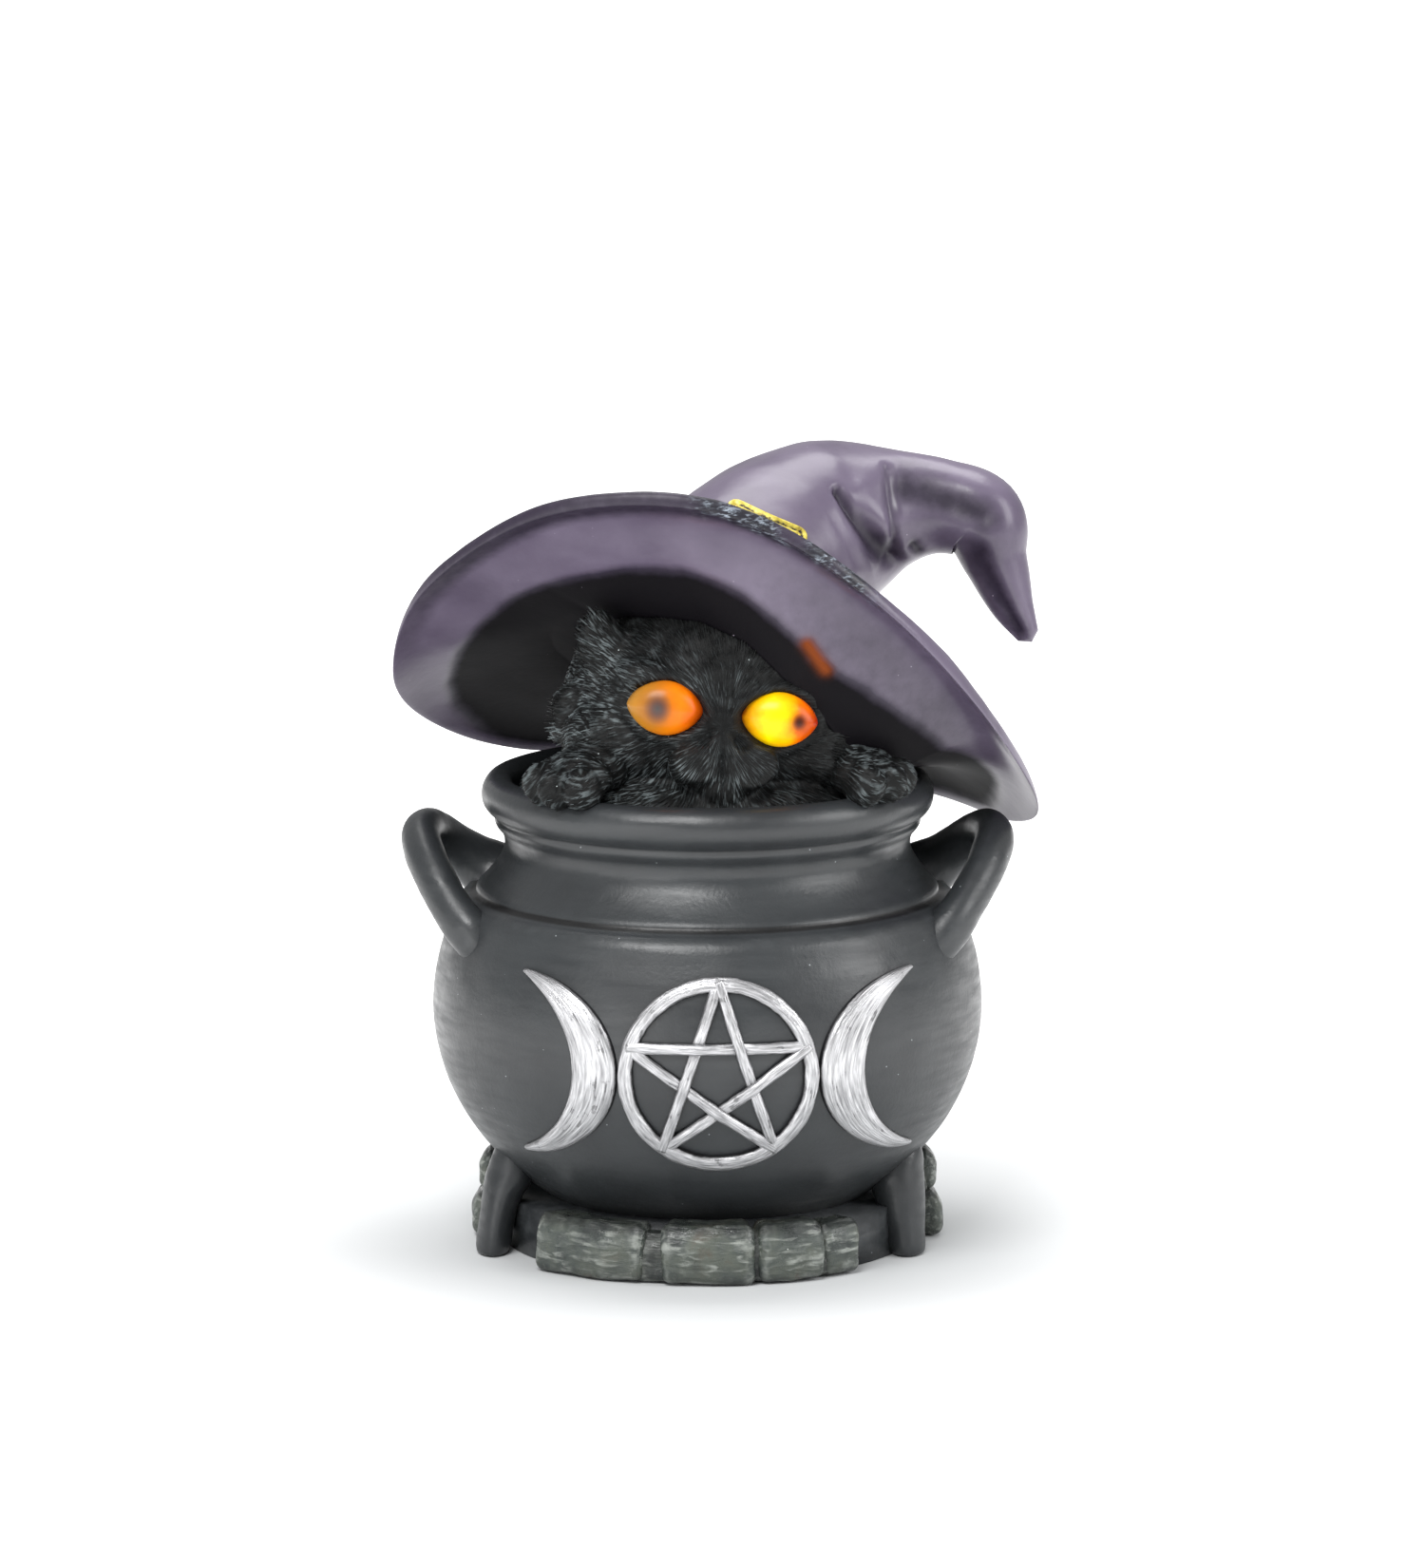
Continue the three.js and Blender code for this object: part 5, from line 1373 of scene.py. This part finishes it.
def paw(node, name, seed):
    """A paw laid over the rim, with three toes and a wrist behind."""
    low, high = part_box(node)
    middle = (low + high) / 2 / MM
    out = Vector((middle.x, middle.y, 0)).normalized()
    across = Vector((-out.y, out.x, 0))
    turn = math.degrees(math.atan2(out.y, out.x)) + 90
    base = Vector((middle.x, middle.y, middle.z))
    parts = [egg(base - out * 2.0 + Vector((0, 0, 0.4)), (5.9, 4.4, 3.9), (0, 0, turn))]
    parts.append(egg(base - out * 6.5 + Vector((0, 0, 1.4)), (5.2, 6.0, 4.6), (0, 0, turn)))
    for shift, forward, wide in ((-3.9, 1.2, 2.3), (0.0, 2.2, 2.5), (3.9, 1.0, 2.3)):
        parts.append(
            egg(base + across * shift + out * forward + Vector((0, 0, -0.8)), (wide, 4.0, 3.3), (-14, 0, turn))
        )
    obj = moulded(name, parts, 0.4, fur_skin, 3)
    points = points_of(obj)
    push_out(obj, 0.22 * lumps(points, 3, seed) + 0.12 * lumps(points, 1.2, seed + 1))
    comb(obj, seed)
    points = points_of(obj)
    store(obj, "drybrush_and_painted_light", np.full(len(points), 0.75))
    store(obj, "furred", ease(70, 71, points[:, 2]))
    store(obj, "fur_length", np.full(len(points), 0.75))
    mark_relief(obj, 0.05)
    seat(obj, "figure", "fur_resin", node)
    fur = comb_fur(name + "_fur", obj, 0.75, (0.8, 0.6, 0.4), (1.5, 1.0, 0.7), seed)
    seat(fur, "figure", "fur_resin", node)


# ---------------------------------------------------------------- gold trim

BUCKLE = [(4.0, 113.0), (14.0, 108.9), (12.3, 103.4), (2.3, 107.0)]    # its corners seen from the front: (x, z)


def hat_band(place, normal):
    """A thin ribbon with two piped edges round the foot of the cone."""
    first, last = 5, 15
    across = np.linspace(0, 1, 15)
    rows = first + (last - first) * across
    rise = 0.3 + 0.5 * (hump(across, 0.1, 0.09) + hump(across, 0.9, 0.09))
    rise[[0, -1]] = -0.1
    rings = []
    for k in range(COLUMNS):
        line = np.column_stack([np.interp(rows, np.arange(len(place)), place[:, k, i]) for i in range(3)])
        up = np.column_stack([np.interp(rows, np.arange(len(place)), normal[:, k, i]) for i in range(3)])
        rings.append(np.vstack([line + up * rise[:, None], line[[-1, 0]] - 0.5 * up[[-1, 0]]]))
    band = tube("gold_band", rings, True, gold)
    store(band, "side", np.tile(np.append(1 - np.clip(rise / 0.6, 0, 1), [1, 1]), COLUMNS))
    seat(band, "figure", "gold_paint", "hat_band")


def hat_buckle(place, normal):
    """A square frame with a double line, lying on the band at the front of the cone."""
    skin_points, out = place[:40].reshape(-1, 3), normal[:40].reshape(-1, 3)
    front = out[:, 1] < -0.05
    skin_points, out = skin_points[front], out[front]
    corners = np.array(BUCKLE)
    line = []
    for i in range(4):
        share = np.linspace(0, 1, 24, endpoint=False)[:, None]
        line.append(corners[i] + share * (corners[(i + 1) % 4] - corners[i]))
    line = np.vstack(line)
    line = 0.5 * line + 0.25 * (np.roll(line, 1, 0) + np.roll(line, -1, 0))
    path, up = [], []
    for x, z in line:
        away = np.hypot(skin_points[:, 0] - x, skin_points[:, 2] - z)
        near = np.argsort(away)[:6]
        weight = 1 / (away[near] + 0.05)
        y = (skin_points[near, 1] * weight).sum() / weight.sum()
        path.append((x, y, z))
        n = (out[near] * weight[:, None]).sum(0)
        up.append(n / np.linalg.norm(n))
    path, up = np.array(path), np.array(up)
    for _ in range(3):
        path = 0.5 * path + 0.25 * (np.roll(path, 1, 0) + np.roll(path, -1, 0))
    along = np.roll(path, -1, 0) - np.roll(path, 1, 0)
    along /= np.linalg.norm(along, axis=1)[:, None]
    across = np.cross(along, up)
    section = np.array(
        [
            (-0.95, -0.4), (-0.95, 0.9), (-0.7, 1.3), (-0.4, 1.3), (-0.15, 0.9), (0.15, 0.9), (0.4, 1.3),
            (0.7, 1.3), (0.95, 0.9), (0.95, -0.4),
        ]
    )
    rings = [p + np.outer(section[:, 0], c) + np.outer(section[:, 1], n) for p, c, n in zip(path, across, up)]
    buckle = tube("gold_buckle", rings, True, gold)
    store(buckle, "side", np.tile(1 - np.clip(section[:, 1] / 1.2, 0, 1), len(path)))
    seat(buckle, "figure", "gold_paint", "hat_buckle")


# ---------------------------------------------------------------- making it

cauldron()
ear_handle(-1, "ear_handle_left", "handle_left")
ear_handle(1, "ear_handle_right", "handle_right")
horn_foot("horn_foot_left", "foot_front_left", [
    (0, -32.6, 2.0, 3.4), (0.6, -32.7, 2.6, 4.1), (4, -32.3, 2.7, 4.2), (8, -31.4, 3.1, 4.2),
    (12, -30.0, 3.7, 4.0), (16, -29.4, 2.9, 3.2), (18.6, -29.6, 1.0, 1.4),
])
horn_foot("horn_foot_right", "foot_front_right", [
    (0, 30.4, 2.3, 3.4), (0.6, 30.3, 2.9, 4.1), (4, 29.9, 3.3, 4.2), (8, 29.2, 3.9, 4.2), (12, 28.9, 4.1, 4.0),
    (16, 29.4, 3.2, 3.2), (18.6, 30.2, 1.0, 1.4),
])
stone_ring()
pentacle()
crescent_moon(-1, "moon_relief_left", "crescent_left")
crescent_moon(1, "moon_relief_right", "crescent_right")
cone_place, cone_normal = witch_hat()
kitten_head()
paw("paw_left", "kitten_paw_left", 61)
paw("paw_right", "kitten_paw_right", 71)
hat_band(cone_place, cone_normal)
hat_buckle(cone_place, cone_normal)

AMBER = [(0.0, "#93682a"), (0.3, "#b87820"), (0.55, "#d87806"), (0.8, "#d86200"), (1.0, "#9c3400")]
YELLOW = [
    (0.0, "#8c3c08"), (0.14, "#c88c04"), (0.4, "#f0cc00"), (0.6, "#e8a800"), (0.78, "#d86000"), (1.0, "#8c1c00"),
]
LEFT_PUPIL = {"x": -0.2, "z": 0.04, "radius": 0.36, "colour": "#3f3d3c", "edge": "#6a3210", "light": 0.14}
RIGHT_PUPIL = {"x": 0.52, "z": 0.06, "radius": 0.2, "colour": "#2c1408", "edge": "#6a2406", "light": 0.3}
eye_dome(EYES[0], "eye_dome_left", "eye_lens_left", lit_eye("lit_eye_amber", EYES[0], AMBER, LEFT_PUPIL))
eye_dome(EYES[1], "eye_dome_right", "eye_lens_right", lit_eye("lit_eye_yellow", EYES[1], YELLOW, RIGHT_PUPIL))

back_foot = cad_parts["foot_back"]
store(back_foot, "relief", np.full(len(back_foot.data.vertices), 0.5))
SMALL = {
    "black_felt": (small_part("pressed_black_felt", ("#0f0f10", "#1b1b1d"), 0.25, 0.9, bump=0.9), ["base_felt"]),
    "moulded_abs": (small_part("moulded_black_abs", ("#131314", "#1a1a1c"), 0.4, 0.5, bump=0.15), [
        "battery_box", "battery_cover", "switch_housing", "switch_knob",
    ]),
    "steel": (small_part("nickel_plated_steel", ("#b9b6ae", "#cfccc4"), 0.3, 0.26, 1.0, 0.1), [
        "cover_screw", "button_cell_1", "button_cell_2", "button_cell_3", "contact_plate", "contact_spring",
    ]),
    "board": (small_part("solder_masked_board", ("#0f4a2c", "#155a36"), 0.3, 0.4, bump=0.15), ["circuit_board"]),
    "epoxy": (small_part("cast_led_epoxy", ("#d98a1c", "#f0a42c"), 0.5, 0.15, bump=0.05, extra={"IOR": 1.55}), [
        "led_left", "led_right",
    ]),
    "red": (small_part("red_pvc_insulation", ("#9e1414", "#b51a18"), 0.3, 0.45, bump=0.1), [
        "led_lead_red_left", "led_lead_red_right",
    ]),
    "black_wire": (small_part("black_pvc_insulation", ("#101011", "#18181a"), 0.3, 0.45, bump=0.1), [
        "led_lead_black_left", "led_lead_black_right",
    ]),
    "lacquer": (small_part("resistor_lacquer", ("#c8ad7a", "#d9c08e"), 0.3, 0.35, bump=0.1), [
        "resistor_left", "resistor_right",
    ]),
    "resin": (black, ["foot_back"]),
}
for finish, nodes in SMALL.values():
    for name in nodes:
        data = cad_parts[name].data
        data.materials.clear()
        data.materials.append(finish)
bpy.data.objects.remove(FUR["stroke"])

# ---------------------------------------------------------------- floor, light and camera

shape = bmesh.new()
bmesh.ops.create_grid(shape, x_segments=8, y_segments=8, size=6)
floor_mesh = bpy.data.meshes.new("studio_floor")
shape.to_mesh(floor_mesh)
shape.free()
floor = bpy.data.objects.new("studio_floor", floor_mesh)
bpy.context.scene.collection.objects.link(floor)
# Matt white paper floor. Close to the figure its colour is greyer and it does not glow, as painted shade; further
# out it glows more and more, as painted light, so that it stays white far away.
floor_finish, t = blank_finish("matt_white_paper")
here = add(t, "ShaderNodeTexCoord").outputs["Object"]
away = add(t, "ShaderNodeVectorMath", {0: here}, operation="LENGTH").outputs["Value"]
painted_light = add(
    t, RAMP,
    {"Fac": add(t, MATHS, {0: away, 1: 0.5}, operation="MULTIPLY")},
    stops=[(0.025, 0.0), (0.07, 0.3), (0.3, 0.6), (1.0, 0.9)],
)
paper = add(
    t, RAMP,
    {"Fac": add(t, MATHS, {0: away, 1: 0.5}, operation="MULTIPLY")},
    stops=[(0.02, "#cdcfd0"), (0.075, "#fafafa")],
)
shader = add(t, "ShaderNodeBsdfPrincipled", {
    "Base Color": paper, "Roughness": 0.9, "Emission Color": linear("#ffffff"), "Emission Strength": painted_light,
})
add(t, "ShaderNodeOutputMaterial", {"Surface": shader})
floor_mesh.materials.append(floor_finish)
floor_mesh.transform(Matrix.Translation((0, 0, -0.0001)))

world = bpy.data.worlds.new("soft_white_tent")
world.use_nodes = True
world.node_tree.nodes["Background"].inputs["Color"].default_value = (1, 1, 1, 1)
world.node_tree.nodes["Background"].inputs["Strength"].default_value = 0.5
bpy.context.scene.world = world


def soft_box(name, place, aim, size, power):
    data = bpy.data.lights.new(name, "AREA")
    data.shape = "RECTANGLE"
    data.size, data.size_y = size
    data.energy = power
    lamp = bpy.data.objects.new(name, data)
    lamp.location = place
    lamp.rotation_euler = (Vector(aim) - Vector(place)).to_track_quat("-Z", "Y").to_euler()
    bpy.context.scene.collection.objects.link(lamp)


soft_box("key_box", (-0.25, -0.6, 0.75), (0, 0, 0.06), (0.5, 0.35), 7)
soft_box("fill_box", (0.8, -0.3, 0.45), (0, 0, 0.06), (0.5, 0.5), 4)
soft_box("low_box", (-0.5, -0.65, 0.12), (0, 0, 0.05), (0.6, 0.3), 1.3)
soft_box("top_box", (0.0, 0.25, 0.9), (0, 0, 0.08), (0.8, 0.5), 7)

camera_data = bpy.data.cameras.new("camera")
camera_data.lens = 195.7
camera_data.clip_end = 50
camera = bpy.data.objects.new("camera", camera_data)
camera.location = (0.00074, -1.28025, 0.29588)
camera.rotation_euler = (math.radians(80), 0, 0)
bpy.context.scene.collection.objects.link(camera)
bpy.context.scene.camera = camera
bpy.context.scene.view_settings.view_transform = "Standard"
